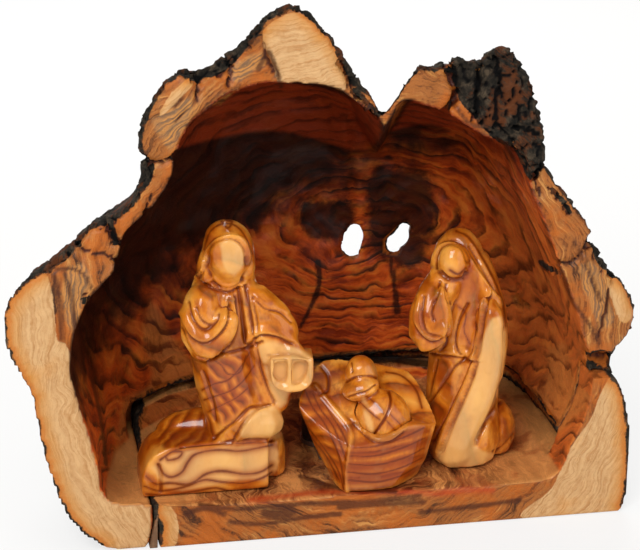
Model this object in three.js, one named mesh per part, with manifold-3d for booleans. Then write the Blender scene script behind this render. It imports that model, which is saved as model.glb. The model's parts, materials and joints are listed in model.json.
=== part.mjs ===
// Carved wooden nativity scene: a hollowed log grotto, a kneeling man, a kneeling woman, a manger
// with an infant, and a wind-up musical movement. Millimetres, +Z up, +X to the viewer's right, the
// open front faces -Y, the origin is on the table under the middle of the log.
import * as THREE from 'three';
import { mergeVertices } from 'three/addons/utils/BufferGeometryUtils.js';
import Module from 'manifold-3d';

const wasm = await Module();
wasm.setup();

// Shared clearances
const glueGap = 0.3; // between pieces that are glued or screwed together
const runGap = 0.2; // radial, round a turning shaft

// The log and its hollow
const logDepth = 124;
const logFront = -logDepth / 2; // y of the sawn front face
const logHeartX = 20; // the log narrows towards this line on its way back
const logHeartZ = 55;
const floorTop = 16; // height of the stage above the table
const cavityDepth = 110; // from the sawn face to the deepest point of the hollow
const cavityHeartX = 30;
const rimRound = 3.5; // rounding of the weathered part of the rim
const lipDepth = 6; // the lip at the stage's left front corner fades out over this depth
const backRimHeight = 9; // raised edge of the base behind the stage
const shadowGap = 2.8; // open crack between that edge and the grotto's back wall
const shadowGapReach = 8; // how far that crack runs into the wall
const wallY = logFront + cavityDepth - 2; // the back wall where the knot holes pierce it

// The cleft between the two crowns of the rim runs back as a falling valley
const cleftX = 18.6;
const cleftFloor = 170; // height of its floor at the sawn face
const cleftRun = new THREE.Vector3(0.17, 1, -0.42); // the way its floor runs
const cleftHeight = 60;
const cleftHalfWidth = 36; // at that height
const cleftFold = 6; // wood left under the valley

// The joint between the shell's left foot and the base
const footSeamX = -70;
const postDepth = 18; // the base's right-hand post, from the sawn face back
const postTop = 58;
const postLeft = 86;
const wedgeWidth = 3.4;
const wedgeHeight = 14;
const wedgeDepth = 22;

// Figures and manger, each placed by the middle of its foot
const manPlace = [-40, logFront + 22];
const womanPlace = [62, logFront + 32];
const mangerPlace = [15, logFront + 16];

// Musical movement
const plateCorner = [0, logFront + 34]; // front left corner of the bedplate
const plateLength = 43;
const plateWidth = 37;
const plateThick = 2;
const canRadius = 9.2;
const canHeight = 12.7;
const canX = 5.5;
const canY = 20;
const arborRadius = 1.6;
const drumRadius = 5.6;
const drumLength = 17;
const drumStart = 16.5;
const drumY = 18;
const drumZ = 9.5;
const drumShaftRadius = 1;
const pinHeight = 0.8;
const pinWidth = 0.5;
const combTeeth = 18;
const combThick = 1;
const combToothLength = 6.6;
const combToothShorter = 2.4; // how much shorter the treble end's slots are
const combSlot = 0.34;
const combBodyWidth = 6.4;
const wheelModule = 0.4;
const drumWheelTeeth = 32;
const pinionTeeth = 8;
const wormModule = 0.5;
const wormWheelTeeth = 20;
const wormPitchRadius = 1.3;
const meshClearance = 0.1; // added to each centre distance
const flyRadius = 3;
const screwRadius = 1.2;
const screwHead = 2.3;
const screwDepth = 2.8; // how far the movement's screws go into the wood

// Winding key and its pocket under the base
const pocketRadius = 19;
const pocketRoof = 3.5; // wood left over the pocket
const keyLift = 1.6; // from the table to the key
const keySpan = 31;
const keyHeight = 8.6;
const keyThick = 2.4;
const keyHubRadius = 3.2;

// Materials
function finish(color, roughness, metalness) {
  return new THREE.MeshStandardMaterial({ color, roughness, metalness });
}

const logWood = finish(0x9a6238, 0.55, 0);
const baseWood = finish(0xb98552, 0.55, 0);
const fillerWood = finish(0x7a5434, 0.6, 0);
const figureWood = finish(0xd69a4c, 0.28, 0);
const infantWood = finish(0xdfae62, 0.28, 0);
const mangerWood = finish(0xc98238, 0.32, 0);
const steel = finish(0xb8bcc0, 0.35, 0.9);
const darkSteel = finish(0x4a4d50, 0.45, 0.8);
const brass = finish(0xc8a24a, 0.35, 0.9);

// Solids: a closed geometry becomes a solid that can be joined and cut
function solidOf(geometry) {
  const bare = geometry.clone();
  bare.deleteAttribute('normal');
  bare.deleteAttribute('uv');
  const merged = mergeVertices(bare, 1e-4);
  const corners = [];
  for (let i = 0; i < merged.index.count; i += 3) {
    const [a, b, c] = [0, 1, 2].map((k) => merged.index.getX(i + k));
    if (a !== b && b !== c && a !== c) corners.push(a, b, c);
  }
  return new wasm.Manifold(new wasm.Mesh({
    numProp: 3,
    vertProperties: new Float32Array(merged.attributes.position.array),
    triVerts: new Uint32Array(corners),
  }));
}

function geometryOf(solid) {
  const mesh = solid.getMesh();
  const geometry = new THREE.BufferGeometry();
  geometry.setAttribute('position', new THREE.BufferAttribute(new Float32Array(mesh.vertProperties), 3));
  geometry.setIndex(new THREE.BufferAttribute(new Uint32Array(mesh.triVerts), 1));
  geometry.computeVertexNormals();
  return geometry;
}

function join(solids) {
  return solids.reduce((whole, next) => whole.add(next));
}

function signedVolume(positions, corners) {
  let total = 0;
  for (let i = 0; i < corners.length; i += 3) {
    const [a, b, c] = [0, 1, 2].map((k) => new THREE.Vector3().fromArray(positions, corners[i + k] * 3));
    total += a.dot(b.cross(c));
  }
  return total;
}

// Skins a stack of rings with equal counts and closes both ends with fans
function loft(rings, firstCentre, lastCentre) {
  const count = rings[0].length;
  const middle = (ring) => ring.reduce((sum, p) => sum.add(p), new THREE.Vector3()).divideScalar(count);
  const points = rings.flat();
  const start = points.push(firstCentre ?? middle(rings[0])) - 1;
  const end = points.push(lastCentre ?? middle(rings.at(-1))) - 1;
  const positions = points.flatMap((p) => p.toArray());
  const corners = [];
  for (let r = 0; r < rings.length - 1; r += 1) {
    for (let i = 0; i < count; i += 1) {
      const a = r * count + i;
      const b = r * count + ((i + 1) % count);
      corners.push(a, b, a + count, b, b + count, a + count);
    }
  }
  const lastRing = (rings.length - 1) * count;
  for (let i = 0; i < count; i += 1) {
    const j = (i + 1) % count;
    corners.push(start, j, i, end, lastRing + i, lastRing + j);
  }
  if (signedVolume(positions, corners) < 0) corners.reverse();
  const geometry = new THREE.BufferGeometry();
  geometry.setAttribute('position', new THREE.Float32BufferAttribute(positions, 3));
  geometry.setIndex(corners);
  return solidOf(geometry);
}

function box(lowX, lowY, lowZ, highX, highY, highZ) {
  const geometry = new THREE.BoxGeometry(highX - lowX, highY - lowY, highZ - lowZ);
  geometry.translate((lowX + highX) / 2, (lowY + highY) / 2, (lowZ + highZ) / 2);
  return solidOf(geometry);
}

// A round bar along one axis, from low to high
function bar(axis, radius, low, high, across, up, sides = 24) {
  const geometry = new THREE.CylinderGeometry(radius, radius, high - low, sides);
  if (axis === 'x') geometry.rotateZ(Math.PI / 2);
  if (axis === 'z') geometry.rotateX(Math.PI / 2);
  const middle = (low + high) / 2;
  if (axis === 'x') geometry.translate(middle, across, up);
  if (axis === 'y') geometry.translate(across, middle, up);
  if (axis === 'z') geometry.translate(across, up, middle);
  return solidOf(geometry);
}

// An outline in the XZ plane, carried along Y from low to high
function slab(outline, low, high) {
  const shape = new THREE.Shape(outline.map(([x, z]) => new THREE.Vector2(x, z)));
  const geometry = new THREE.ExtrudeGeometry(shape, { depth: high - low, bevelEnabled: false });
  geometry.rotateX(Math.PI / 2);
  geometry.translate(0, high, 0);
  return solidOf(geometry);
}

function ellipsoid([x, y, z], [rx, ry, rz], turn = [0, 0, 0], sides = 11) {
  const geometry = new THREE.SphereGeometry(1, sides, Math.round(sides * 0.6));
  geometry.rotateX(Math.PI / 2);
  geometry.scale(rx, ry, rz);
  geometry.applyMatrix4(new THREE.Matrix4().makeRotationFromEuler(
    new THREE.Euler(...turn.map(THREE.MathUtils.degToRad)),
  ));
  geometry.translate(x, y, z);
  return solidOf(geometry);
}

// A swelling form along a curve: stations are [x, y, z, half width, half depth], ends rounded off
function limb(stations, sides = 12, steps = 8, endShare = 0.16) {
  const path = new THREE.CatmullRomCurve3(stations.map(([x, y, z]) => new THREE.Vector3(x, y, z)));
  const girth = new THREE.CatmullRomCurve3(stations.map(([, , , w, d]) => new THREE.Vector3(w, d, 0)));
  const rings = [];
  for (let s = 0; s <= steps; s += 1) {
    const t = 0.5 - 0.5 * Math.cos((Math.PI * (s + 0.35)) / (steps + 0.7));
    const edge = Math.min(t, 1 - t) / endShare;
    const swell = edge < 1 ? Math.sqrt(1 - (1 - edge) ** 2) : 1;
    const centre = path.getPoint(t);
    const tangent = path.getTangent(t);
    const size = girth.getPoint(t);
    const across = new THREE.Vector3(0, 1, 0).cross(tangent).normalize();
    const deep = new THREE.Vector3().crossVectors(tangent, across);
    rings.push(Array.from({ length: sides }, (_, i) => {
      const angle = (2 * Math.PI * i) / sides;
      return centre.clone()
        .addScaledVector(across, Math.cos(angle) * size.x * swell)
        .addScaledVector(deep, Math.sin(angle) * size.y * swell);
    }));
  }
  return loft(rings);
}

// Samples a closed outline of [x, z, setBack] points so that every given point is kept
function smoothOutline(points, between = 2) {
  const curve = new THREE.CatmullRomCurve3(
    points.map(([x, z, setBack = 0]) => new THREE.Vector3(x, setBack, z)), true, 'centripetal',
  );
  return curve.getPoints(points.length * between).slice(0, -1);
}

// The log

// Outer edge of the log seen from the front, clockwise from the left foot. The third value is how
// far the weathered edge lies behind the sawn face.
const logOutline = [
  [-60, -3], [-74, -2], [-91, 2], [-103, 14.5], [-108.7, 31], [-112.7, 50], [-115.2, 68.7],
  [-121.7, 81], [-124, 94], [-121, 106], [-111, 115], [-99, 122.5, 5], [-90, 130, 6], [-80, 134.5, 5],
  [-75.5, 139, 4], [-72, 152, 2], [-73, 166], [-67, 179], [-57, 189], [-50.5, 188, 3],
  [-45, 188.3, 4], [-40.5, 191.8, 6], [-35, 194, 8], [-27.3, 205.3, 3], [-15, 212], [-8, 208],
  [3.7, 193.6, 1], [12, 180, 4], [18.6, 175, 6], [24.8, 181.8, 6], [28, 184, 7], [36, 185, 8],
  [41.4, 183, 10], [45, 185.8, 12], [50, 187, 12], [55, 184.2, 12], [59, 186.3, 12],
  [63, 188.7, 12], [68, 189, 12], [72, 186, 12], [76, 179.5, 12], [84.3, 159, 12], [85, 142.5, 8],
  [94.2, 129, 4], [101.6, 118.4, 2], [105.8, 106.4], [114, 98], [119, 89], [120, 80], [117.5, 74],
  [112.4, 67], [110.5, 62], [110.8, 58], [113.4, 55], [116.2, 46.3], [118.7, 33], [118.5, 16],
  [117.5, 3], [112, -3], [60, -4], [0, -4],
];

// How the log draws in towards its back: share of the depth, then the shares of its reach to the
// left, to the right and upwards, and how far the lobes of the front edge have faded into a dome
const logTaper = [
  [0.03, 1, 1, 1, 0], [0.2, 0.965, 0.983, 0.945, 0.04], [0.4, 0.92, 0.96, 0.87, 0.17],
  [0.6, 0.86, 0.915, 0.785, 0.47], [0.78, 0.75, 0.825, 0.67, 0.85], [0.92, 0.61, 0.695, 0.54, 1],
  [1, 0.42, 0.5, 0.36, 1],
];
const domeLeft = 128; // reach of the dome from the heart line
const domeRight = 100;
const domeHigh = 150;

function makeLog() {
  const outline = smoothOutline(logOutline);
  const logBack = logFront + logDepth;
  const frontRing = outline.map((p) => {
    const weathered = p.x < 0
      ? THREE.MathUtils.smoothstep(p.z, 105, 125)
      : THREE.MathUtils.smoothstep(p.z, postTop, postTop + 8);
    const reach = Math.hypot(p.x - logHeartX, p.z - logHeartZ);
    const share = 1 - (weathered * rimRound) / reach;
    return new THREE.Vector3(
      logHeartX + (p.x - logHeartX) * share,
      logFront + Math.max(0, p.y),
      logHeartZ + (p.z - logHeartZ) * share,
    );
  });
  const rings = logTaper.map(([depth, left, right, high, faded]) => outline.map((p) => {
    const [x, z] = [p.x - logHeartX, p.z - logHeartZ];
    const dome = 1 / Math.hypot(x / (x < 0 ? domeLeft : domeRight), z / domeHigh);
    const fade = faded * THREE.MathUtils.smoothstep(z, 0, 35);
    const reach = THREE.MathUtils.lerp(1, dome, fade);
    return new THREE.Vector3(
      logHeartX + x * reach * (x < 0 ? left : right),
      THREE.MathUtils.lerp(logFront + Math.max(0, p.y), logBack, depth),
      z < 0 ? p.z : logHeartZ + z * reach * high,
    );
  }));
  const frontCentre = new THREE.Vector3(logHeartX, logFront, logHeartZ + 40);
  const backCentre = new THREE.Vector3(logHeartX, logBack, logHeartZ - 20);
  const body = loft([frontRing, ...rings], frontCentre, backCentre);
  return body.intersect(box(-200, -200, 0, 200, 200, 300)).subtract(cleft(0));
}

// The valley's wedge, lowered by a drop
function cleft(drop) {
  const start = new THREE.Vector3(cleftX, logFront, cleftFloor - drop);
  const section = [[0, 0], [cleftHalfWidth, cleftHeight], [-cleftHalfWidth, cleftHeight]];
  const ring = (along) => section.map(([x, z]) => start.clone()
    .addScaledVector(cleftRun, along)
    .add(new THREE.Vector3(x, 0, z)));
  return loft([ring(-10), ring(logDepth + 10)]);
}

// Inner edge of the rim at the sawn face, clockwise from the left end of the stage. The third value
// is the height of the lip that the saw left there in front of the stage.
const rimOutline = [
  [-87, floorTop, 7], [-90, 34], [-93, 48], [-96, 60], [-99, 74], [-97.5, 89], [-91, 103],
  [-82, 112], [-77, 126], [-66, 137], [-60, 148], [-56, 163], [-45, 174], [-31, 179], [-13, 181],
  [2, 178], [12, 169], [17, 165], [22, 171], [33, 169.5], [45, 164], [59, 155], [73, 147], [77, 133],
  [82, 120], [87, 105], [93, 90], [98, 74], [102, 58], [99, 40], [94, 30], [90, 19],
  [84, floorTop], [40, floorTop], [0, floorTop], [-46, floorTop], [-72, floorTop, 3],
];

// The hollow narrows to the back like a dome, sharper on the left than on the right
function makeHollow(grow = 0) {
  const outline = smoothOutline(rimOutline);
  const shares = [0, lipDepth / cavityDepth, 0.25, 0.47, 0.66, 0.82, 0.93, 0.99];
  const narrowing = (share, power) => (1 - share ** power) ** (1 / power);
  const rings = shares.map((share) => outline.map((p) => {
    const wide = narrowing(share, p.x < cavityHeartX ? 2.6 : 5);
    const high = narrowing(share, 3);
    const x = cavityHeartX + (p.x - cavityHeartX) * wide;
    const lip = p.y * Math.max(0, 1 - (share * cavityDepth) / lipDepth);
    const z = p.z < logHeartZ ? p.z + lip : logHeartZ + (p.z - logHeartZ) * high;
    const reach = Math.hypot(p.x - cavityHeartX, p.z - logHeartZ);
    return new THREE.Vector3(
      x + (grow * (p.x - cavityHeartX)) / reach,
      logFront + (cavityDepth + grow) * share,
      z + (grow * (p.z - logHeartZ)) / reach,
    );
  }));
  const mouth = rings[0].map((p) => new THREE.Vector3(p.x, logFront - 8, p.z));
  const seat = logHeartZ - 5;
  const room = loft(
    [mouth, ...rings],
    new THREE.Vector3(cavityHeartX, logFront - 8, seat),
    new THREE.Vector3(cavityHeartX, logFront + cavityDepth + grow, seat),
  );
  return room.subtract(cleft(cleftFold));
}

// Natural openings through the back wall, each an outline round its middle at the wall
const knotHoles = [
  {
    place: [27.5, wallY, 83],
    outline: [[-4.2, -3], [-3, 3], [-0.5, 7], [3.5, 6], [4.4, 1], [2.5, -5.5], [-1.5, -6.5]],
  },
  {
    place: [47.5, wallY, 83],
    outline: [[-4, -5], [-3.4, -0.5], [0, 2], [2.2, 6.2], [4.2, 5], [4, -1], [1, -4.4], [-2, -6]],
  },
];
const knotDrift = new THREE.Vector3(0.17, 1, -0.36); // the way the knot holes run, inside to outside
const knotReach = 16; // how far they are cut before and behind the wall

function knotHole({ place, outline }) {
  const ring = (along, share) => outline.map(([x, z]) => new THREE.Vector3(...place)
    .addScaledVector(knotDrift, along)
    .add(new THREE.Vector3(x * share, 0, z * share)));
  return loft([ring(-knotReach, 0.95), ring(2, 1), ring(knotReach, 1.5)]);
}

// Everything of the log that belongs to the base, grown by a gap when the shell is cut with it
function baseRegion(gap) {
  const left = footSeamX - gap;
  const rim = floorTop + backRimHeight + gap;
  const floorPart = slab([
    [left, -10], [left, floorTop + 5], [left + 4, rim], [cavityHeartX - 10, rim],
    [60, rim - 3], [postLeft, floorTop + 2.5 + gap], [150, floorTop + 2.5 + gap], [150, -10],
  ], -100, 100);
  const post = slab([
    [postLeft - gap, -10], [postLeft - gap, postTop - 10], [postLeft + 14, postTop + gap],
    [150, postTop + gap], [150, -10],
  ], -100, logFront + postDepth + gap);
  return floorPart.add(post);
}

// The black notch where the post meets the shell
function makeNotch() {
  return ellipsoid([postLeft + 19, logFront - 2, postTop + 5], [6.2, 14, 5]);
}

function makeShell(log, hollow) {
  const crackSpace = makeHollow(shadowGapReach).intersect(box(
    footSeamX - 4, logFront + postDepth, floorTop,
    200, 200, floorTop + backRimHeight + shadowGap,
  ));
  const backHollow = ellipsoid([38, wallY + 25, 88], [34, 20, 30]);
  return knotHoles.map(knotHole)
    .reduce((shell, hole) => shell.subtract(hole), log.subtract(hollow))
    .subtract(baseRegion(glueGap))
    .subtract(crackSpace)
    .subtract(backHollow)
    .subtract(makeNotch())
    .subtract(seamWedge(glueGap));
}

function makeBase(log, hollow) {
  const keyX = plateCorner[0] + canX;
  const keyY = plateCorner[1] + canY;
  const pocket = bar('z', pocketRadius, -5, floorTop - pocketRoof, keyX, keyY, 36);
  const bore = bar('z', arborRadius + runGap + glueGap, 0, floorTop + 5, keyX, keyY);
  const screwHoles = movementScrewPlaces.map(([x, y]) => bar(
    'z', screwRadius + glueGap, floorTop - screwDepth - glueGap, floorTop + 5,
    plateCorner[0] + x, plateCorner[1] + y, 10,
  ));
  return [pocket, bore, ...screwHoles, makeNotch(), seamWedge(glueGap)]
    .reduce((base, cut) => base.subtract(cut), log.subtract(hollow).intersect(baseRegion(0)));
}

// The brown wedge driven into the foot of the seam
function seamWedge(gap) {
  const half = wedgeWidth / 2 + gap;
  return slab([
    [footSeamX - half - 0.6, 0 - gap], [footSeamX + half - 0.6, 0 - gap],
    [footSeamX + 1.6 + gap, wedgeHeight + gap], [footSeamX + 1 - gap, wedgeHeight + gap],
  ], logFront - gap, logFront + wedgeDepth + gap);
}

// The kneeling man with a lantern, one carving. Heights are above the stage.
function makeMan() {
  const block = slab([
    [-33.5, 0], [-33.3, 8.5], [-31.2, 14], [-28.4, 17.5], [-22.6, 20.3], [-5.3, 21], [16.4, 20.7], [16.2, 0],
  ], -11.3, 11);
  const legs = [
    block,
    limb([[-24, 10, 13, 6, 8], [-16, 12, 16, 9, 9], [0, 10, 18, 10, 10]], 10, 6),
    ellipsoid([9, -4, 27.5], [15, 11, 9], [0, 12, 0]),
    limb([[19, 5, -4, 6, 8], [19.5, 5, 10, 6, 8], [18.5, 5, 19, 5, 8]], 10, 4),
  ];
  const trunk = limb([
    [5, 0, 14, 15.5, 14], [5.5, 0, 26, 12.5, 13], [2, 0, 40, 12.5, 12.5], [0, 1, 54, 12.5, 12],
    [1, 2, 72, 14, 11.5], [2, 2, 85, 12, 10], [2, 2, 96, 8, 8],
  ], 12, 10);
  const arms = [
    limb([[-6, -2, 83, 6, 8], [-9, -6, 74, 7.3, 9], [-8.5, -9, 64, 8.2, 8], [-3, -11, 59, 8, 7]], 10, 7),
    limb([[-8, -10, 62, 6.5, 6], [-2, -12.5, 69, 5.5, 5], [1, -13, 76, 4, 4]], 10, 6),
    limb([[8, -1, 79, 6, 8], [13.5, -3, 74, 7.5, 8], [20.5, -6, 66, 7.5, 7], [26, -10, 59, 5.5, 5]], 10, 7),
  ];
  const drapes = [
    limb([[13, -3, 76, 5, 7], [15, -5, 66, 8, 7], [19, -7, 57, 9, 6], [21, -8, 53, 8, 5]], 10, 5),
    limb([[17, -5, 60, 7, 5], [18, -5, 48, 8, 5], [19.5, -4, 37, 7.5, 5], [18, -4, 29, 6, 5]], 10, 5),
  ];
  const head = [
    limb([
      [2, 2, 82, 12, 9], [2, 1, 88, 11.8, 10], [3, 0.5, 93, 10.8, 10.5], [2.7, 0, 98.5, 9.8, 10.5],
      [2.3, 0, 103, 8.2, 9], [2.2, 0, 107.5, 6.5, 7],
    ], 12, 8, 0.2),
    ellipsoid([2.5, -7, 95.5], [8, 6.5, 10.5], [8, 0, 0]),
  ];
  return join([...legs, trunk, ...arms, ...drapes, makeLantern(), ...head])
    .subtract(box(-60, -40, -10, 60, 40, 0));
}

const lanternSize = {
  width: 16.5, height: 15, depth: 11, barWidth: 2, windowWidth: 5.4, windowHeight: 9, windowDepth: 1.6,
};

function makeLantern() {
  const { width, height, depth, barWidth, windowWidth, windowHeight, windowDepth } = lanternSize;
  const bowl = Array.from({ length: 9 }, (_, i) => {
    const angle = (Math.PI * i) / 8;
    return [(Math.cos(angle) * width) / 2, -height * (0.1 + 0.4 * Math.sin(angle))];
  });
  const body = slab([[-width / 2, height / 2], [width / 2, height / 2], ...bowl], -depth / 2, depth / 2);
  const roof = limb([
    [0, 0, height / 2 - 2, width * 0.46, depth * 0.46], [0, 0, height / 2 + 5, width / 6, depth / 6],
  ], 10, 4);
  const windowLeft = (barWidth + windowWidth) / -2;
  const windowAt = (x) => box(
    x - windowWidth / 2, -depth, -windowHeight / 2,
    x + windowWidth / 2, windowDepth - depth / 2, windowHeight / 2,
  );
  return body.add(roof).subtract(windowAt(windowLeft)).subtract(windowAt(-windowLeft))
    .rotate([0, 0, -6])
    .translate([25, -12, 49.5]);
}

// The kneeling woman with her veil, one carving
function makeWoman() {
  const robe = limb([
    [-4.6, -4.5, -4, 14.9, 14], [-4.6, -4.5, 8, 15.2, 14.2], [-4.8, -3, 20, 15, 14],
    [-4.5, -1.5, 30, 15, 14.5], [-3.5, -1, 46, 14.8, 14.5], [-3.5, -1, 64, 13, 12.5],
    [-5.5, -1, 78, 10, 11], [-6, 0, 88, 6, 8],
  ], 12, 9, 0.1);
  const veil = [
    limb([
      [5, 2, 22, 3.5, 9], [8, -1, 40, 4.2, 12], [7.7, -2, 56, 5, 12], [3.5, -2, 70, 7, 12.5],
      [-2.6, -1, 80, 8.8, 12], [-5.5, 0, 88, 6.5, 9.5],
    ], 12, 8, 0.14),
    ellipsoid([-7.2, -1, 79], [11.3, 11.5, 17.2]),
    limb([
      [1.5, -14, 71, 2.4, 4], [2.4, -15, 65, 4.4, 5.5], [3.2, -16, 58, 5.3, 5.6],
      [2.4, -16.8, 48.5, 6.3, 4.8], [0.8, -17.2, 39, 6.6, 4.3], [-2.4, -17, 30, 7.2, 4.5],
      [-5.5, -16, 22, 7, 5.5], [-8.5, -14.5, 14, 7.2, 6.5], [-9, -13, 6, 8, 6.5], [-7, -12.5, 0, 9, 6],
    ], 10, 11, 0.1),
    ellipsoid([9.5, 1, 9], [9, 10.5, 13]),
  ];
  const arms = [
    limb([
      [-8, -2, 80, 6, 7], [-13.5, -7, 77, 7, 7.5], [-20, -11, 68.5, 8, 8], [-21.8, -13.5, 60, 8.2, 7.8],
      [-19, -13.5, 52.5, 7.5, 7],
    ], 10, 7),
    limb([[-17.5, -14.5, 57, 6.5, 6], [-17.5, -16.5, 67, 4.4, 4.4], [-17.8, -17.5, 78.5, 2.4, 3]], 10, 6),
  ];
  const head = ellipsoid([-11.8, -11, 85.3], [6.2, 6.5, 7.8], [10, -6, 0]);
  return join([robe, ...veil, ...arms, head])
    .subtract(box(-60, -60, -20, 60, 60, 0));
}

// The infant, swaddled: head, collar fold and egg-shaped bundle. Grown by a gap it cuts the trough.
function makeInfant(gap = 0) {
  const grown = (radii) => radii.map((r) => r + gap);
  return join([
    ellipsoid([-1.2, 2, 42.4], grown([6.7, 6.6, 8.1]), [0, -6, 0]),
    ellipsoid([-2, -1, 38.4], grown([7.8, 7, 4.9]), [0, -18, 0]),
    ellipsoid([6.4, -4, 26.8], grown([12, 10, 10.6]), [0, 50, 0]),
  ]);
}

// The manger, a rough trough cut from one block: foot, waist and rim, each with the same corners
const mangerFoot = [[-11, -13, 0], [8, -13.5, 0], [21, -2, 0], [17, 14, 0], [-4, 14.5, 0], [-13, 2, 0]];
const mangerWaist = [
  [-8, -14.5, 10], [14, -13.5, 9], [24, -4, 8], [20, 14.5, 12], [-10, 15, 14], [-20, 2, 14],
];
const mangerRim = [
  [-7, -15, 19], [17, -13, 26], [28, -4, 23], [20, 14, 38], [-14, 12, 46], [-27, -2, 33],
];

function makeManger() {
  const ring = (corners) => {
    const curve = new THREE.CatmullRomCurve3(
      corners.map((p) => new THREE.Vector3(...p)), true, 'catmullrom', 0.28,
    );
    return curve.getPoints(30).slice(0, -1);
  };
  const block = loft([ring(mangerFoot), ring(mangerWaist), ring(mangerRim)]);
  return block.subtract(makeInfant(glueGap));
}

// Musical movement, in the bedplate's own frame: x along the plate, y across it, z above its foot
const movementScrewPlaces = [[4.5, 4.5], [27, 4.5], [39, 33], [5, 33.5]];
const drumEnd = drumStart + drumLength;
const drumWheelX = drumEnd + 0.9;
const drumWheelWidth = 1.2;
const wheelPitch = (wheelModule * drumWheelTeeth) / 2;
const pinionPitch = (wheelModule * pinionTeeth) / 2;
const governorY = drumY - wheelPitch - pinionPitch - meshClearance;
const wormWheelPitch = (wormModule * wormWheelTeeth) / 2;
const wormWheelX = drumWheelX + 4.3;
const flyX = wormWheelX;
const flyY = governorY - wormWheelPitch - wormPitchRadius - meshClearance;
const governorTop = 17.4;
const cheekThick = 1;
const postThick = 1.2;
const leftPostX = drumStart - 1.6;
const rightPostX = drumWheelX + drumWheelWidth / 2 + 0.9;
const combY = drumY + drumRadius + pinHeight + glueGap;
const combRootY = combY + combToothLength;
const combScrewPlaces = [[drumStart + 3.4, combRootY + 3.4], [drumEnd - 3.4, combRootY + 3.4]];

// A toothed wheel in the XY plane, centred, from z = 0 to the width
function toothedWheel(moduleSize, teeth, width, bore = 0) {
  const pitch = (moduleSize * teeth) / 2;
  const step = (2 * Math.PI) / teeth;
  const root = pitch - 1.15 * moduleSize;
  const tip = pitch + 0.85 * moduleSize;
  const tooth = [[root, -0.27], [tip, -0.09], [tip, 0.09], [root, 0.27]];
  const shape = new THREE.Shape(Array.from({ length: teeth }, (_, i) => tooth.map(
    ([radius, share]) => new THREE.Vector2(radius, 0).rotateAround(new THREE.Vector2(), (i + share) * step),
  )).flat());
  if (bore > 0) shape.holes.push(new THREE.Path().absarc(0, 0, bore, 0, 2 * Math.PI, true));
  return new THREE.ExtrudeGeometry(shape, { depth: width, bevelEnabled: false, curveSegments: 12 });
}

// Stands a wheel on the X axis at a place along the plate, turned by a share of one tooth
function wheelOnX(geometry, x, y, z, turn) {
  geometry.rotateZ(turn);
  geometry.rotateX(Math.PI / 2);
  geometry.rotateZ(Math.PI / 2);
  geometry.translate(x, y, z);
  return solidOf(geometry);
}

function makePlate() {
  const board = box(0, 0, 0, plateLength, plateWidth, plateThick)
    .add(bar('z', canRadius + 0.6, 0, plateThick, canX, canY, 28));
  const combSeat = box(
    drumStart, combRootY + 0.6, plateThick / 2,
    drumEnd, combRootY + combBodyWidth, drumZ - combThick / 2 - glueGap,
  );
  const post = (x) => box(x, drumY - 3, plateThick / 2, x + postThick, drumY + 3, drumZ + 2.6);
  const holes = [
    bar('z', arborRadius + runGap, -5, 10, canX, canY, 16),
    bar('x', drumShaftRadius + runGap, leftPostX - 3, leftPostX + 4, drumY, drumZ, 12),
    bar('x', drumShaftRadius + runGap, rightPostX - 3, rightPostX + 4, drumY, drumZ, 12),
    ...movementScrewPlaces.map(([x, y]) => bar('z', screwRadius + glueGap, -5, 10, x, y, 10)),
    ...combScrewPlaces.map(([x, y]) => bar('z', 1 + glueGap, plateThick + 1, 20, x, y, 10)),
  ];
  return holes.reduce(
    (plate, hole) => plate.subtract(hole),
    join([board, combSeat, post(leftPostX), post(rightPostX)]),
  );
}

// The comb: eighteen tuned teeth sawn into one steel plate, longer towards the bass
function makeComb() {
  const pitch = drumLength / combTeeth;
  const backY = combRootY + combBodyWidth;
  const shape = new THREE.Shape();
  shape.moveTo(drumStart, backY);
  shape.lineTo(drumStart, combY);
  for (let i = 1; i < combTeeth; i += 1) {
    const slotX = drumStart + i * pitch;
    const slotEnd = combRootY - (combToothShorter * i) / combTeeth;
    shape.lineTo(slotX - combSlot / 2, combY);
    shape.lineTo(slotX - combSlot / 2, slotEnd);
    shape.lineTo(slotX + combSlot / 2, slotEnd);
    shape.lineTo(slotX + combSlot / 2, combY);
  }
  shape.lineTo(drumEnd, combY);
  shape.lineTo(drumEnd, backY);
  for (const [x, y] of combScrewPlaces) {
    shape.holes.push(new THREE.Path().absarc(x, y, 1 + glueGap, 0, 2 * Math.PI, true));
  }
  const geometry = new THREE.ExtrudeGeometry(shape, {
    depth: combThick, bevelEnabled: false, curveSegments: 8,
  });
  geometry.translate(0, 0, drumZ - combThick / 2);
  return solidOf(geometry);
}

function screw(x, y, seat, shankEnd, shankRadius, headRadius, headHeight) {
  return bar('z', shankRadius, shankEnd, seat + 0.4, x, y, 8)
    .add(bar('z', headRadius, seat, seat + headHeight, x, y, 12))
    .subtract(box(
      x - headRadius, y - 0.3, seat + headHeight - 0.6,
      x + headRadius, y + 0.3, seat + headHeight + 1,
    ));
}

function makeCombScrew([x, y]) {
  return screw(x, y, drumZ + combThick / 2 + glueGap, plateThick + 1 + glueGap, 1, 1.9, 1.3);
}

function makeMovementScrew([x, y]) {
  return screw(x, y, plateThick + glueGap, -screwDepth - glueGap, screwRadius, screwHead, 1.4);
}

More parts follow.
